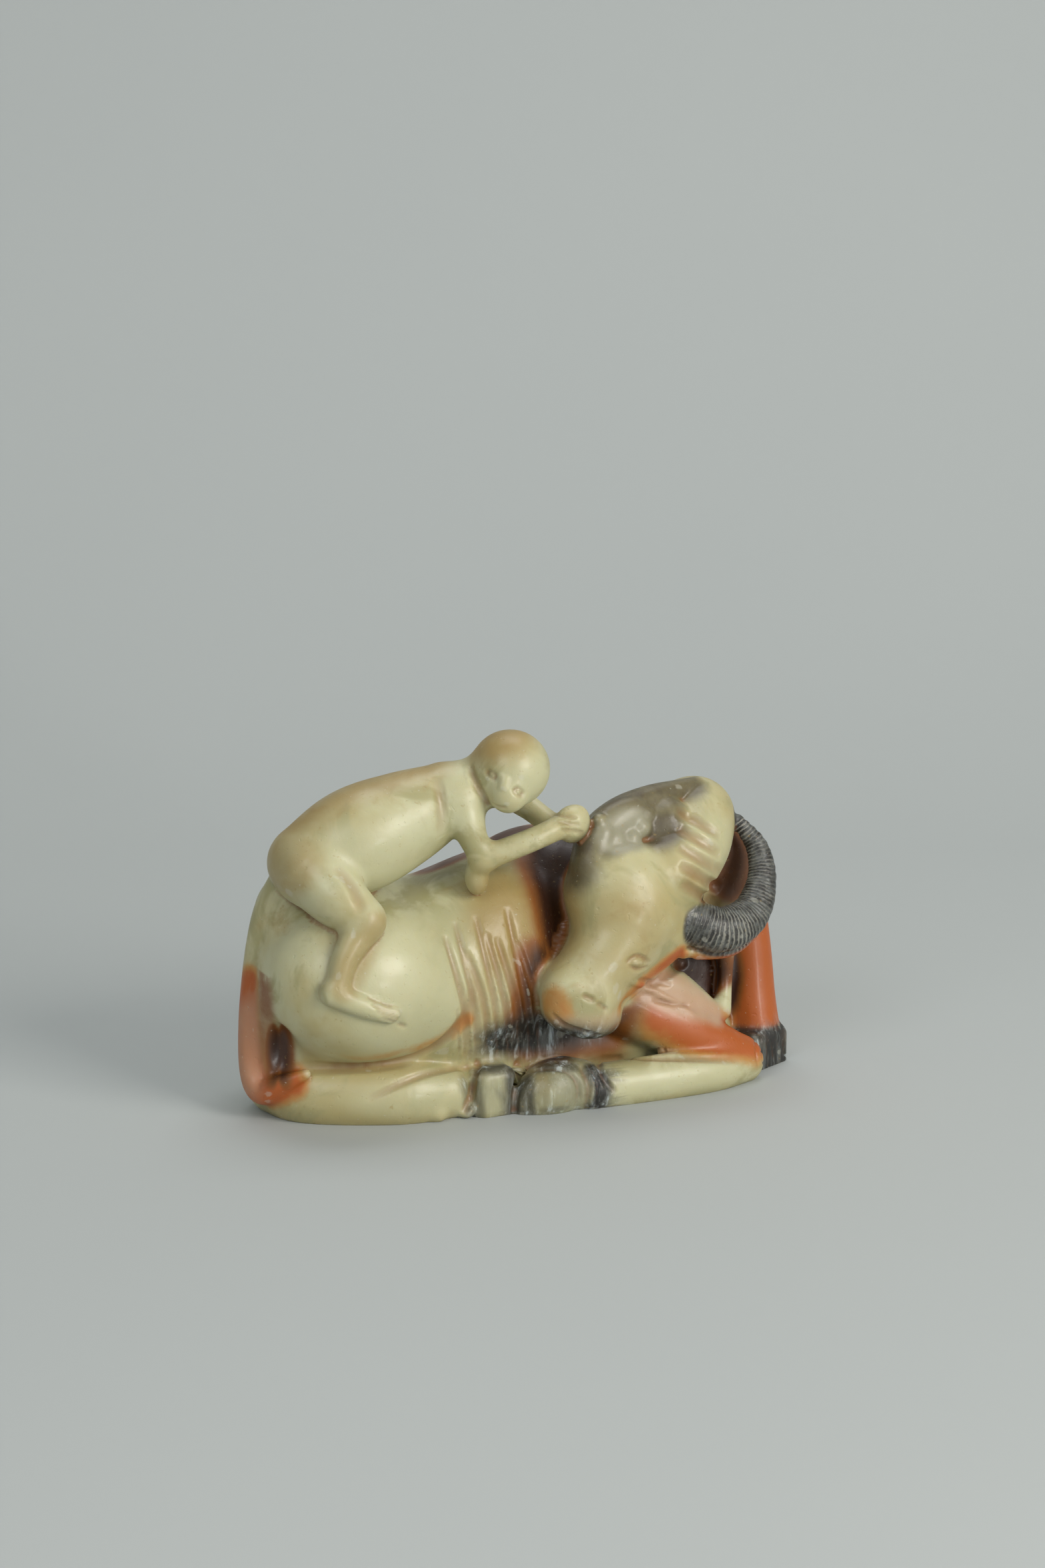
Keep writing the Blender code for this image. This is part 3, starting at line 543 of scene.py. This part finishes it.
def carving():
    """The whole stone as one blended surface with its strokes."""
    pocket = Ball((5.4, -7.6, 23.0), (3.6, 4.4, 8.6))
    body = Blend(MASS_BLEND, [buffalo_body(), buffalo_neck()], [pocket])
    rump = Blend(HOLLOW_BLEND, [body], [tail_hollow()])
    beast = Blend(LIMB_BLEND, [rump, buffalo_head(), tail()] + near_legs() + chest() + far_legs())
    horned = Blend(HORN_BLEND, [beast] + horns_and_ear())
    stone = Blend(RIDER_BLEND, [horned, monkey()])
    monkey_face = Ball((-3.0, -8.4, 39.4), (4.4, 2.6, 4.6))
    monkey_hand = Ball((6.2, -6.4, 33.8), (3.0, 3.0, 2.8))
    ringed_horn = Limb((18.8, -7.8, 21.4, 3.3), (23, -8.4, 19.9, 3.4), (27.4, -7.0, 21.0, 3.0),
                       (29.9, -4.8, 24.6, 2.4), (30.0, -3.0, 28.2, 2.0), (28.0, -1.6, 31.4, 1.4))
    strokes = hide_strokes() + hoof_strokes() + face_strokes() + monkey_strokes()
    return Carved(stone, strokes, [monkey_face, monkey_hand, ringed_horn])


def rough_skin(shapes):
    """A closed skin round balls set along every shape."""
    mesh = bmesh.new()
    bmesh.ops.create_icosphere(mesh, subdivisions=3, radius=1.0)
    ball = bpy.data.meshes.new("ball")
    mesh.to_mesh(ball)
    mesh.free()
    piece = bpy.data.objects.new(PIECE, bpy.data.meshes.new(PIECE))
    lumps = [piece]
    for place in shapes.lumps():
        lumps.append(bpy.data.objects.new("lump", ball))
        lumps[-1].matrix_world = place
    for lump in lumps:
        bpy.context.scene.collection.objects.link(lump)
    with bpy.context.temp_override(active_object=piece, selected_editable_objects=lumps):
        bpy.ops.object.join()
    remesh(piece, ROUGH_GRID)
    return piece


def remesh(piece, spacing):
    """Even out the skin on a grid."""
    step = piece.modifiers.new("grid", "REMESH")
    step.mode = "VOXEL"
    step.voxel_size = spacing
    bake(piece)


def bake(piece):
    """Replace a piece's mesh by what its modifiers make of it."""
    graph = bpy.context.evaluated_depsgraph_get()
    graph.update()
    result = bpy.data.meshes.new_from_object(piece.evaluated_get(graph))
    piece.modifiers.clear()
    old = piece.data
    piece.data = result
    bpy.data.meshes.remove(old)


def skin_points(piece):
    """The mesh's points as rows of x, y, z."""
    flat = np.empty(len(piece.data.vertices) * 3, np.float32)
    piece.data.vertices.foreach_get("co", flat)
    return flat.reshape(-1, 3).astype(float)


def draw_onto(piece, surface, rounds):
    """Move every point of the skin along the surface's own slope until it lies on it."""
    points = skin_points(piece)
    probes = PROBE * np.array([(1, -1, -1), (-1, -1, 1), (-1, 1, -1), (1, 1, 1)], float)
    for _ in range(rounds):
        slope = np.zeros_like(points)
        height = np.zeros(len(points))
        for probe in probes:
            value = surface.distance(points + probe)
            slope += value[:, None] * probe
            height += value / len(probes)
        slope /= len(probes) * PROBE * PROBE
        steepness = np.maximum((slope * slope).sum(axis=1), LEAST_SLOPE)
        points -= np.clip(height / steepness, -LONGEST_MOVE, LONGEST_MOVE)[:, None] * slope
    piece.data.vertices.foreach_set("co", points.astype(np.float32).ravel())
    piece.data.update()


def thin_out(piece, surface):
    """Fewer triangles, kept where the surface bends most and in the strokes."""
    carved = surface.in_stroke(skin_points(piece))
    plain = piece.vertex_groups.new(name="plain")
    plain.add(np.flatnonzero(~carved).tolist(), 1.0, "REPLACE")
    plain.add(np.flatnonzero(carved).tolist(), STROKE_THINNING, "REPLACE")
    step = piece.modifiers.new("thin", "DECIMATE")
    step.ratio = FACES / (2.0 * len(piece.data.polygons))
    step.vertex_group = plain.name
    step.vertex_group_factor = STROKE_CARE
    step.use_collapse_triangulate = True
    bake(piece)
    piece.vertex_groups.clear()


def slice_base(piece):
    """Cut the stone flat at the resting plane."""
    mesh = bmesh.new()
    mesh.from_mesh(piece.data)
    everything = mesh.verts[:] + mesh.edges[:] + mesh.faces[:]
    cut = bmesh.ops.bisect_plane(mesh, geom=everything, dist=BASE_SNAP, plane_co=(0, 0, 0),
                                 plane_no=(0, 0, -1), clear_outer=True)
    points = [v for v in cut["geom_cut"] if isinstance(v, bmesh.types.BMVert)]
    bmesh.ops.remove_doubles(mesh, verts=points, dist=BASE_MERGE)
    bmesh.ops.triangle_fill(mesh, edges=[e for e in mesh.edges if e.is_boundary], use_beauty=True)
    bmesh.ops.recalc_face_normals(mesh, faces=mesh.faces[:])
    mesh.to_mesh(piece.data)
    mesh.free()


def colour_zones():
    """Where each tint of the stone, each painted shade and each painted highlight lies: (shape, reach of
    its soft edge, strength).
    """
    return {
        "orange": [
            (Limb((32.0, 3.0, 20, 2.4), (32.2, 2.0, 12, 2.6), (32.2, 1.0, 5, 2.4)), 3.4, 1.0),
            (Limb((16, -6.0, 9.6, 1.6), (22, -6.4, 6.6, 1.8), (27.6, -5.6, 4.4, 1.2)), 3.0, 1.0),
            (Limb((20.5, -7.4, 16.6, 0.5), (26, -6.8, 17.2, 0.9), (30.6, -4.4, 19.2, 0.6)), 1.6, 0.9),
            (Limb((-34.0, -0.2, 16.5, 0.8), (-34.2, -0.2, 9, 1.4), (-33.4, -1.6, 4, 1.4),
                  (-30, -4.8, 5.4, 1.0)), 2.2, 0.9),
            (Limb((-28.6, -8.6, 8.2, 0.2), (-20.6, -10.6, 7.9, 0.3), (-13.4, -10.2, 9.2, 0.3),
                  (-9.6, -9.6, 12.0, 0.2)), 1.7, 0.6),
            (Limb((17.5, -9.0, 17.0, 0.5), (14.5, -10.4, 14.8, 0.8), (10.5, -11.8, 12.2, 0.6)), 2.0, 0.9),
            (Ball((13.4, -7.6, 13.6), (3.4, 2.0, 1.2), (0, 30, 0)), 1.6, 0.5),
            (Ball((-0.4, -12.4, 12.4), (1.6, 1.6, 2.6)), 2.2, 0.45),
            (Ball((28.4, 0.8, 25.2), (1.4, 3.0, 2.4)), 1.6, 0.8),
            (Ball((10.4, -12, 9.6), (2.6, 2.0, 0.6)), 0.9, 0.6),
        ],
        # painted shade in the hollows: the tail's groove, the pocket behind the head, under the neck and
        # chest, below the muzzle, behind the monkey's arms and along the far side of the back
        "painted_shade": [
            (Ball((-32.4, -3.4, 12.6), (0.4, 2.4, 4.4), (0, 0, -20)), 1.6, 0.35),
            (Ball((-31.2, -4.2, 8.6), (0.5, 2.0, 1.8), (0, 0, -20)), 2.2, 0.9),
            (Ball((7.4, -1.6, 20.0), (3.4, 6.0, 10.6)), 7.4, 1.0),
            (Ball((28.2, 1.6, 27.0), (2.6, 4.0, 5.4)), 2.6, 0.55),
            (Ball((25.6, 2.4, 11.0), (3.2, 3.4, 5.4)), 2.4, 1.0),
            (Limb((26.0, -2.0, 17, 0.8), (26.2, -1.8, 12, 0.8)), 2.0, 0.42),
            (Ball((0.8, -7.0, 13.0), (2.0, 3.0, 4.6)), 4.8, 0.9),
            (Ball((24.0, -0.5, 13.5), (3.0, 2.6, 3.0)), 2.6, 0.85),
            (Ball((0.8, 4.2, 31.2), (3.0, 2.4, 1.6)), 2.0, 0.7),
            (Ball((-7.7, 3.4, 28.0), (3.2, 1.6, 0.8)), 1.8, 0.6),
        ],
        # the stone's streaked grey together with painted shade: the belly in the muzzle's shadow and the
        # dark edges round the hooves
        "grey_and_shade": [
            (Ball((1.4, -9.0, 8.6), (7.6, 4.6, 1.8)), 2.6, 1.0),
            (Block((1.4, -10.6, 2.6), (5.6, 3.0, 3.0), 1.0), 2.0, 0.42),
            (Ball((-6.4, -9.4, 2.6), (2.6, 2.4, 2.8)), 1.6, 0.32),
            (Block((33.0, -0.6, 2.0), (4.6, 3.4, 2.6), 1.0, (0, 0, 32)), 1.0, 1.0),
            (Limb((-7.8, -9.0, 6.2, 0.6), (-2.8, -9.6, 6.2, 0.8), (3.6, -10.8, 6.0, 0.6)), 1.6, 0.8),
            (Limb((-3.2, -9.8, 5.4, 1.2), (-3.2, -10.6, 0.2, 1.3)), 1.6, 0.9),
            (Limb((6.0, -11.0, 5.2, 0.8), (6.6, -11.4, 2.6, 0.7), (6.2, -11.4, 0.2, 0.8)), 1.5, 1.0),
            (Limb((-3.6, -11.4, 0.6, 0.4), (-3.6, -11.4, 3.6, 0.5), (-1.6, -11.4, 5.5, 0.5),
                  (0.9, -11.0, 6.1, 0.5)), 1.0, 1.0),
            (Limb((-2.4, -12.0, 0.4, 0.3), (5.4, -12.4, 0.4, 0.3)), 1.2, 0.7),
            (Limb((-9.4, -10.2, 5.4, 0.6), (-8.6, -10.4, 0.4, 0.6)), 1.4, 0.7),
        ],
        "ringed": [
            (Limb((19.8, -8.6, 20.9, 2.2), (23, -8.8, 19.8, 3.0), (27.6, -7.2, 20.8, 2.7),
                  (30.2, -4.8, 24.6, 2.2), (30.2, -3.0, 28.2, 1.8), (28.2, -1.6, 31.4, 1.4)), 0.8, 1.0),
        ],
        "horn": [
            (Limb((8.6, -6.0, 30.6, 2.4), (12.0, -4.0, 33.6, 2.6), (17.0, -3.4, 33.6, 2.4)), 1.8, 0.8),
            (Limb((6.4, -6.8, 27.6, 1.8), (6.2, -6.0, 31.6, 1.4), (9.6, -4.0, 35.2, 1.4),
                  (16.0, -2.4, 36.6, 1.2), (21.6, -1.4, 36.2, 1.2)), 2.2, 0.9),
            # painted shade in the hollow at the horn's root
            (Ball((16.4, -5.6, 31.2), (1.6, 1.8, 2.6), (0, 20, 0)), 2.4, 1.0),
        ],
        # painted highlight on the lumps inside the left horn
        "lump_highlight": [
            (Ball((11.2, -7.2, 32.6), (3.4, 1.8, 2.2), (0, -24, 0)), 1.3, 0.95),
        ],
        "pink": [
            (Limb((14.0, -6.6, 14.0, 1.6), (18.0, -6.6, 11.8, 1.8), (23.0, -5.6, 8.6, 1.0)), 1.7, 0.9),
            (Ball((4.8, -12.6, 10.2), (4.2, 1.6, 1.4)), 1.8, 0.5),
            (Ball((-34.0, -1.4, 9.0), (1.0, 2.0, 5.0)), 1.8, 0.5),
            (Ball((30.0, -1.2, 22.4), (1.4, 1.4, 2.0)), 1.2, 0.5),
        ],
        "ochre": [
            (Limb((-27, -1, 35.4, 1.8), (-20, -1, 39.4, 2.2), (-12, -1, 41.4, 1.8)), 3.8, 0.85),
            (Ball((-4.6, -4.4, 44.8), (3.6, 3.8, 1.6)), 2.8, 0.85),
            (Ball((-29.4, -4.0, 31.5), (2.4, 4.0, 2.6)), 2.6, 0.6),
            (Ball((-2.0, -8.0, 23.6), (4.6, 4.0, 4.6)), 4.6, 0.8),
            (Limb((-21.6, -12.0, 25.2, 1.0), (-24.6, -13.0, 21.0, 1.2),
                  (-26.0, -13.2, 18.4, 0.8)), 1.6, 0.6),
            (Ball((9.0, -13.5, 21.0), (4.0, 2.0, 5.0)), 4.0, 0.35),
        ],
        # the stone's pale patches together with painted highlights on the ribs' crests, the shin's edge and
        # the hooves' facets
        "pale_and_highlight": [
            (Ball((-17.0, -12.4, 17.0), (7.0, 3.0, 6.6)), 5.0, 0.8),
            (Ball((-19.0, -8.5, 32.4), (6.0, 3.0, 3.0)), 4.0, 0.8),
            (Ball((-10.6, -9.2, 22.6), (4.4, 3.0, 4.0)), 4.0, 0.6),
            (Limb((-24, -10.6, 3.6, 1.0), (-12, -10.6, 3.6, 1.2)), 3.0, 0.6),
            (Limb((10, -12.2, 2.6, 0.8), (24, -10.2, 2.6, 0.8)), 2.4, 0.9),
            (Ball((22.4, -6.4, 30.0), (3.0, 3.0, 2.4)), 3.0, 0.6),
            (Ball((2.4, -12.0, 3.6), (1.2, 1.6, 1.4)), 1.4, 0.9),
            (Ball((-2.8, -9.5, 15.6), (3.4, 2.4, 3.2)), 2.0, 0.6),
            (Ball((-6.0, -10.6, 3.0), (1.6, 1.6, 2.0)), 1.6, 0.7),
        ],
    }


def paint_zones(piece, stone):
    """Masks for the material: one per tint, painted shade or painted highlight, the turns of the horn's
    rings and the strokes' depth.
    """
    points = skin_points(piece)
    horns = horns_and_ear()
    kept_clear = [buffalo_head(), monkey()] + horns
    for name, places in colour_zones().items():
        mask = np.zeros(len(points))
        for shape, reach, strength in places:
            near = box_gap(shape, points) < reach
            if near.any():
                share = np.clip(1.0 - shape.distance(points[near]) / reach, 0.0, 1.0)
                mask[near] = np.maximum(mask[near], strength * share * share * (3.0 - 2.0 * share))
        if name == "painted_shade":
            clear = np.min([shape.distance(points) for shape in kept_clear], axis=0)
            mask *= np.clip(clear / SKULL_CLEAR, 0.0, 1.0)
        keep_mask(piece, name, mask)
    keep_mask(piece, "turns", horns[0].travel(points) / HORN_RING)
    depth = np.zeros(len(points))
    for stroke in stone.strokes:
        near = box_gap(stroke, points) < stroke.width
        if near.any():
            depth[near] += stroke.bite(points[near])
    keep_mask(piece, "groove", np.clip(depth / GROOVE_FULL, 0.0, 1.0))


def keep_mask(piece, name, mask):
    """Store one number per point under a name."""
    layer = piece.data.attributes.new(name, "FLOAT", "POINT")
    layer.data.foreach_set("value", mask.astype(np.float32))


class Wiring:
    """Short calls for adding linked nodes to a material."""

    def __init__(self, tree):
        self.nodes = tree.nodes
        self.links = tree.links

    def add(self, kind, inputs=(), **settings):
        """A new node with its settings, and its inputs by name."""
        node = self.nodes.new("ShaderNode" + kind)
        for name, value in settings.items():
            setattr(node, name, value)
        for name, value in dict(inputs).items():
            self.put(value, node.inputs[name])
        return node

    def put(self, value, socket):
        """Link another node's output, or set a constant."""
        if isinstance(value, bpy.types.NodeSocket):
            self.links.new(value, socket)
        else:
            socket.default_value = value

    def math(self, operation, *values, clamp=False):
        node = self.add("Math", operation=operation, use_clamp=clamp)
        for value, socket in zip(values, node.inputs):
            self.put(value, socket)
        return node.outputs[0]

    def noise(self, where, scale, detail=3.0, rough=0.5, warp=0.0):
        return self.add("TexNoise", {"Vector": where, "Scale": scale, "Detail": detail, "Roughness": rough,
                                     "Distortion": warp}).outputs["Fac"]

    def ramp(self, value, low, high, to_low=0.0, to_high=1.0):
        """A soft step between two limits."""
        node = self.add("MapRange", {"Value": value, "From Min": low, "From Max": high,
                                     "To Min": to_low, "To Max": to_high}, interpolation_type="SMOOTHSTEP")
        return node.outputs["Result"]

    def mix(self, share, under, over):
        """One colour laid over another."""
        node = self.add("Mix", data_type="RGBA")
        self.put(share, node.inputs[0])
        self.put(under, node.inputs[6])
        self.put(over, node.inputs[7])
        return node.outputs[2]


HONEY = (0.43, 0.365, 0.165, 1)
PALE = (0.53, 0.52, 0.32, 1)
OCHRE = (0.34, 0.235, 0.075, 1)
SHADE_BROWN = (0.235, 0.08, 0.013, 1)
ORANGE = (0.42, 0.10, 0.014, 1)
AMBER = (0.47, 0.25, 0.07, 1)
ASH = (0.46, 0.53, 0.55, 1)
DARKEST_SHADE = (0.035, 0.009, 0.002, 1)
GREY = (0.10, 0.105, 0.095, 1)
BLACK = (0.018, 0.017, 0.014, 1)
HORN_AND_SHADE = (0.085, 0.066, 0.032, 1)
MOSS = (0.35, 0.325, 0.155, 1)
PINK = (0.50, 0.34, 0.22, 1)
LUMP_HIGHLIGHT = (0.30, 0.285, 0.195, 1)
RING_GLINT = (0.24, 0.235, 0.20, 1)
DUST_AND_EDGE_HIGHLIGHT = (0.55, 0.55, 0.46, 1)

RING_PHASE = 4 * math.pi   # two fine rings to each carved one
STREAK = (1.0, 1.0, 0.14)  # grain drawn out upwards
SCRATCH = (1.0, 1.0, 0.12)
GLOW = 0.22                # how translucent the stone is, how far light goes in, and each colour's share
GLOW_DEPTH = 0.0012
GLOW_SHARES = (1.0, 0.55, 0.2)
BUMP_HEIGHT = 0.00012      # metres


def soapstone():
    """Waxy, polished, faintly translucent stone whose tints run into each other, with shade and highlights
    painted into its colour.
    """
    material = bpy.data.materials.new("soapstone")
    material.use_nodes = True
    wires = Wiring(material.node_tree)
    shader = material.node_tree.nodes["Principled BSDF"]
    place = wires.add("TexCoord").outputs["Object"]
    broad = wires.noise(place, 55.0, 4.0, 0.55, 0.6)
    middling = wires.noise(place, 210.0, 5.0, 0.6, 0.4)
    fine = wires.noise(place, 900.0, 4.0, 0.65)
    grain = wires.noise(place, 3600.0, 3.0, 0.6)
    hollow = wires.add("NewGeometry").outputs["Pointiness"]

    def mask(name, raggedness=0.5):
        """A tint's own mask with its edge made ragged."""
        value = wires.add("Attribute", attribute_name=name).outputs["Fac"]
        wander = wires.math("MULTIPLY", wires.math("SUBTRACT", middling, 0.5), raggedness)
        there = wires.math("MINIMUM", wires.math("MULTIPLY", value, 6.0), 1.0)
        return wires.math("ADD", value, wires.math("MULTIPLY", wander, there), clamp=True)

    patches = wires.noise(place, 120.0, 4.0, 0.6, 0.8)
    colour = wires.mix(wires.ramp(broad, 0.36, 0.62), HONEY, PALE)
    colour = wires.mix(wires.ramp(patches, 0.48, 0.62, 0.0, 0.85), colour, MOSS)
    colour = wires.mix(wires.ramp(middling, 0.54, 0.74, 0.0, 0.4), colour, OCHRE)
    # pale stone, with painted highlights laid in the same mask
    colour = wires.mix(mask("pale_and_highlight"), colour, PALE)
    colour = wires.mix(mask("ochre"), colour, OCHRE)
    orange = mask("orange", 0.9)
    colour = wires.mix(wires.ramp(orange, 0.02, 0.5), colour, AMBER)
    colour = wires.mix(wires.ramp(orange, 0.35, 0.9), colour, ORANGE)
    colour = wires.mix(mask("pink"), colour, PINK)
    # the dark horn, with painted shade at its root
    colour = wires.mix(mask("horn", 0.7), colour, HORN_AND_SHADE)
    # painted highlight on the left horn's lumps
    colour = wires.mix(mask("lump_highlight", 1.2), colour, LUMP_HIGHLIGHT)
    # painted shade in the hollows, brown at its edge and nearly black at its darkest
    painted_shade = mask("painted_shade", 0.3)
    colour = wires.mix(wires.ramp(painted_shade, 0.02, 0.45), colour, SHADE_BROWN)
    colour = wires.mix(wires.ramp(painted_shade, 0.3, 0.85), colour, DARKEST_SHADE)
    # grey streaked stone, and painted shade under the muzzle and round the hooves
    grey_and_shade = mask("grey_and_shade", 0.55)
    upright = wires.add("Mapping", {"Vector": place, "Scale": STREAK}).outputs[0]
    streaks = wires.noise(upright, 900.0, 4.0, 0.65)
    ash = wires.mix(wires.ramp(streaks, 0.44, 0.56), BLACK, GREY)
    ash = wires.mix(wires.ramp(streaks, 0.55, 0.66, 0.0, 0.8), ash, ASH)
    colour = wires.mix(grey_and_shade, colour, ash)
    ringed = wires.add("Attribute", attribute_name="ringed").outputs["Fac"]
    turns = wires.add("Attribute", attribute_name="turns").outputs["Fac"]
    phase = wires.math("ADD", wires.math("MULTIPLY", turns, RING_PHASE), wires.math("MULTIPLY", fine, 7.0))
    crests = wires.math("SINE", phase)
    # painted highlight on the crests of the right horn's rings, patchy along the horn
    glint_patchiness = wires.ramp(middling, 0.36, 0.62, 0.15, 1.0)
    glints = wires.math("MULTIPLY", wires.ramp(crests, -0.2, 1.0), glint_patchiness)
    horny = wires.mix(wires.ramp(fine, 0.4, 0.65), BLACK, GREY)
    horny = wires.mix(glints, horny, RING_GLINT)
    colour = wires.mix(ringed, colour, horny)
    # painted shade in the carved strokes, nearly black where the stone is grey
    groove = wires.add("Attribute", attribute_name="groove").outputs["Fac"]
    groove_shade = wires.mix(grey_and_shade, SHADE_BROWN, BLACK)
    colour = wires.mix(wires.math("MULTIPLY", groove, 0.6), colour, groove_shade)
    # painted shade in the creases, from the surface's pointiness
    colour = wires.mix(wires.ramp(hollow, 0.488, 0.42, 0.0, 0.65), colour, SHADE_BROWN)
    # painted highlight on the sharp crests, from the same pointiness
    colour = wires.mix(wires.ramp(hollow, 0.53, 0.60, 0.0, 0.3), colour, DUST_AND_EDGE_HIGHLIGHT)
    specks = wires.ramp(wires.noise(place, 1500.0, 2.0, 0.5), 0.68, 0.76, 0.0, 0.4)
    colour = wires.mix(specks, colour, OCHRE)
    dust = wires.ramp(wires.noise(place, 2300.0, 1.0, 0.5), 0.74, 0.79, 0.0, 0.3)
    colour = wires.mix(dust, colour, DUST_AND_EDGE_HIGHLIGHT)
    wires.put(colour, shader.inputs["Base Color"])
    rough = wires.ramp(middling, 0.3, 0.75, 0.36, 0.56)
    rough = wires.math("ADD", rough, wires.math("MULTIPLY", grey_and_shade, 0.1))
    wires.put(rough, shader.inputs["Roughness"])
    shader.inputs["Subsurface Weight"].default_value = GLOW
    shader.inputs["Subsurface Radius"].default_value = GLOW_SHARES
    shader.inputs["Subsurface Scale"].default_value = GLOW_DEPTH
    shader.inputs["IOR"].default_value = 1.55
    shader.inputs["Coat Weight"].default_value = 0.1
    shader.inputs["Coat Roughness"].default_value = 0.16
    pits = wires.ramp(wires.noise(place, 1700.0, 1.0, 0.4), 0.69, 0.77, 0.0, -0.4)
    drawn_out = wires.add("Mapping", {"Vector": place, "Scale": SCRATCH}).outputs[0]
    scratches = wires.noise(drawn_out, 2600.0, 2.0, 0.6)
    relief = wires.math("ADD", wires.math("MULTIPLY", middling, 0.8), wires.math("MULTIPLY", fine, 0.35))
    relief = wires.math("ADD", relief, wires.math("ADD", pits, wires.math("MULTIPLY", scratches, 0.1)))
    relief = wires.math("ADD", relief, wires.math("MULTIPLY", grain, 0.04))
    facets = wires.add("TexVoronoi", {"Vector": place, "Scale": 300.0, "Smoothness": 0.4},
                       feature="SMOOTH_F1").outputs["Distance"]
    relief = wires.math("ADD", relief, facets)
    relief = wires.math("ADD", relief, wires.math("MULTIPLY", wires.math("MULTIPLY", crests, ringed), 0.7))
    bump = wires.add("Bump", {"Height": relief, "Distance": BUMP_HEIGHT, "Strength": 0.55})
    wires.put(bump.outputs["Normal"], shader.inputs["Normal"])
    return material


def stone_piece():
    """The finished stone, in metres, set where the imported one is."""
    stone = carving()
    piece = rough_skin(stone)
    draw_onto(piece, stone, ROUGH_ROUNDS)
    remesh(piece, GRID)
    draw_onto(piece, stone, ROUNDS)
    thin_out(piece, stone)
    slice_base(piece)
    paint_zones(piece, stone)
    set_over(piece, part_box(NODE))
    piece.data.shade_smooth()
    piece.data.materials.append(soapstone())
    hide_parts(NODE)
    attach(piece, "root")


def set_over(piece, box):
    """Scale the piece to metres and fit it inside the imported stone's box, standing on the floor."""
    low, high = (np.array(corner) for corner in box)
    points = skin_points(piece)
    size = points.max(axis=0) - points.min(axis=0)
    scale = np.minimum((high - low) / size, UNIT_AT_MOST)
    middle = (points.max(axis=0) + points.min(axis=0)) / 2
    middle[2] = 0.0
    piece.data.transform(Matrix.Diagonal((*scale, 1.0)) @ Matrix.Translation(-Vector(middle)))


PALE_FLOOR = (0.47, 0.50, 0.49, 1)
FLOOR_SHADE = (0.44, 0.47, 0.465, 1)
FLOOR_FRONT = -0.9         # the paper lies from here to here, sweeps up and ends at this height
FLOOR_BACK = 0.12
SWEEP = 0.25
PAPER_TOP = 1.2
PAPER_SIDE = 1.2
SKY = (0.84, 0.86, 0.86, 1)
SKY_STRENGTH = 0.30
LIGHTS_MEET = Vector((0, 0, 0.02))

LIGHTS = [                 # name, place, watts, size and colour
    ("key", (0.26, -0.50, 0.29), 2.4, 0.26, (1.0, 0.96, 0.90)),
    ("glint", (0.16, -0.62, 0.06), 0.45, 0.07, (1.0, 0.98, 0.95)),
    ("fill", (-0.45, -0.45, 0.45), 1.2, 0.34, (0.97, 0.98, 1.0)),
    ("top", (0.10, 0.20, 0.70), 1.9, 0.45, (1.0, 1.0, 1.0)),
]


def studio():
    """Pale paper that sweeps up behind the stone, and soft light."""
    mesh = bmesh.new()
    profile = [(FLOOR_FRONT, 0.0), (FLOOR_BACK, 0.0)]
    profile += [(FLOOR_BACK + SWEEP * math.sin(a), SWEEP - SWEEP * math.cos(a))
                for a in np.linspace(0.1, math.pi / 2, 12)]
    profile += [(FLOOR_BACK + SWEEP, PAPER_TOP)]
    rows = [[mesh.verts.new((x, y, z)) for y, z in profile] for x in (-PAPER_SIDE, PAPER_SIDE)]
    for i in range(len(profile) - 1):
        mesh.faces.new((rows[0][i], rows[1][i], rows[1][i + 1], rows[0][i + 1]))
    data = bpy.data.meshes.new("floor")
    mesh.to_mesh(data)
    mesh.free()
    data.shade_smooth()
    floor = bpy.data.objects.new("floor", data)
    bpy.context.scene.collection.objects.link(floor)
    floor.rotation_euler = (0, 0, math.radians(SIGHT_TURN))
    paper = bpy.data.materials.new("paper")
    paper.use_nodes = True
    wires = Wiring(paper.node_tree)
    shader = paper.node_tree.nodes["Principled BSDF"]
    place = wires.add("TexCoord").outputs["Object"]
    mottled = wires.mix(wires.noise(place, 6.0), PALE_FLOOR, FLOOR_SHADE)
    wires.put(mottled, shader.inputs["Base Color"])
    shader.inputs["Roughness"].default_value = 0.9
    data.materials.append(paper)
    for name, where, watts, size, tint in LIGHTS:
        lamp = bpy.data.lights.new(name, "AREA")
        lamp.energy = watts
        lamp.size = size
        lamp.color = tint
        holder = bpy.data.objects.new(name, lamp)
        bpy.context.scene.collection.objects.link(holder)
        holder.location = where
        holder.rotation_euler = (LIGHTS_MEET - Vector(where)).to_track_quat("-Z", "Y").to_euler()
    world = bpy.data.worlds.new("studio")
    bpy.context.scene.world = world
    world.use_nodes = True
    world.node_tree.nodes["Background"].inputs["Color"].default_value = SKY
    world.node_tree.nodes["Background"].inputs["Strength"].default_value = SKY_STRENGTH


EYE = (-181.371, -498.313, 160.092)   # in the carving's units, like the middle it is set over
CARVING_MIDDLE = (0.69, 0.88)
CAMERA_TILT = 90.0 - 12.988
CAMERA_TURN = -20.1037
LENS = 105.0                          # millimetres


def camera():
    """The photo's viewpoint, and colours shown as they are."""
    lens = bpy.data.cameras.new("camera")
    lens.sensor_fit = "VERTICAL"
    lens.sensor_height = 36.0
    lens.sensor_width = 24.0
    lens.lens = LENS
    lens.clip_start = 0.01
    holder = bpy.data.objects.new("camera", lens)
    x, y, z = EYE
    holder.location = ((x - CARVING_MIDDLE[0]) * UNIT, (y - CARVING_MIDDLE[1]) * UNIT, z * UNIT)
    holder.rotation_euler = (math.radians(CAMERA_TILT), 0.0, math.radians(CAMERA_TURN))
    bpy.context.scene.collection.objects.link(holder)
    bpy.context.scene.camera = holder
    bpy.context.scene.view_settings.view_transform = "Standard"


stone_piece()
studio()
camera()
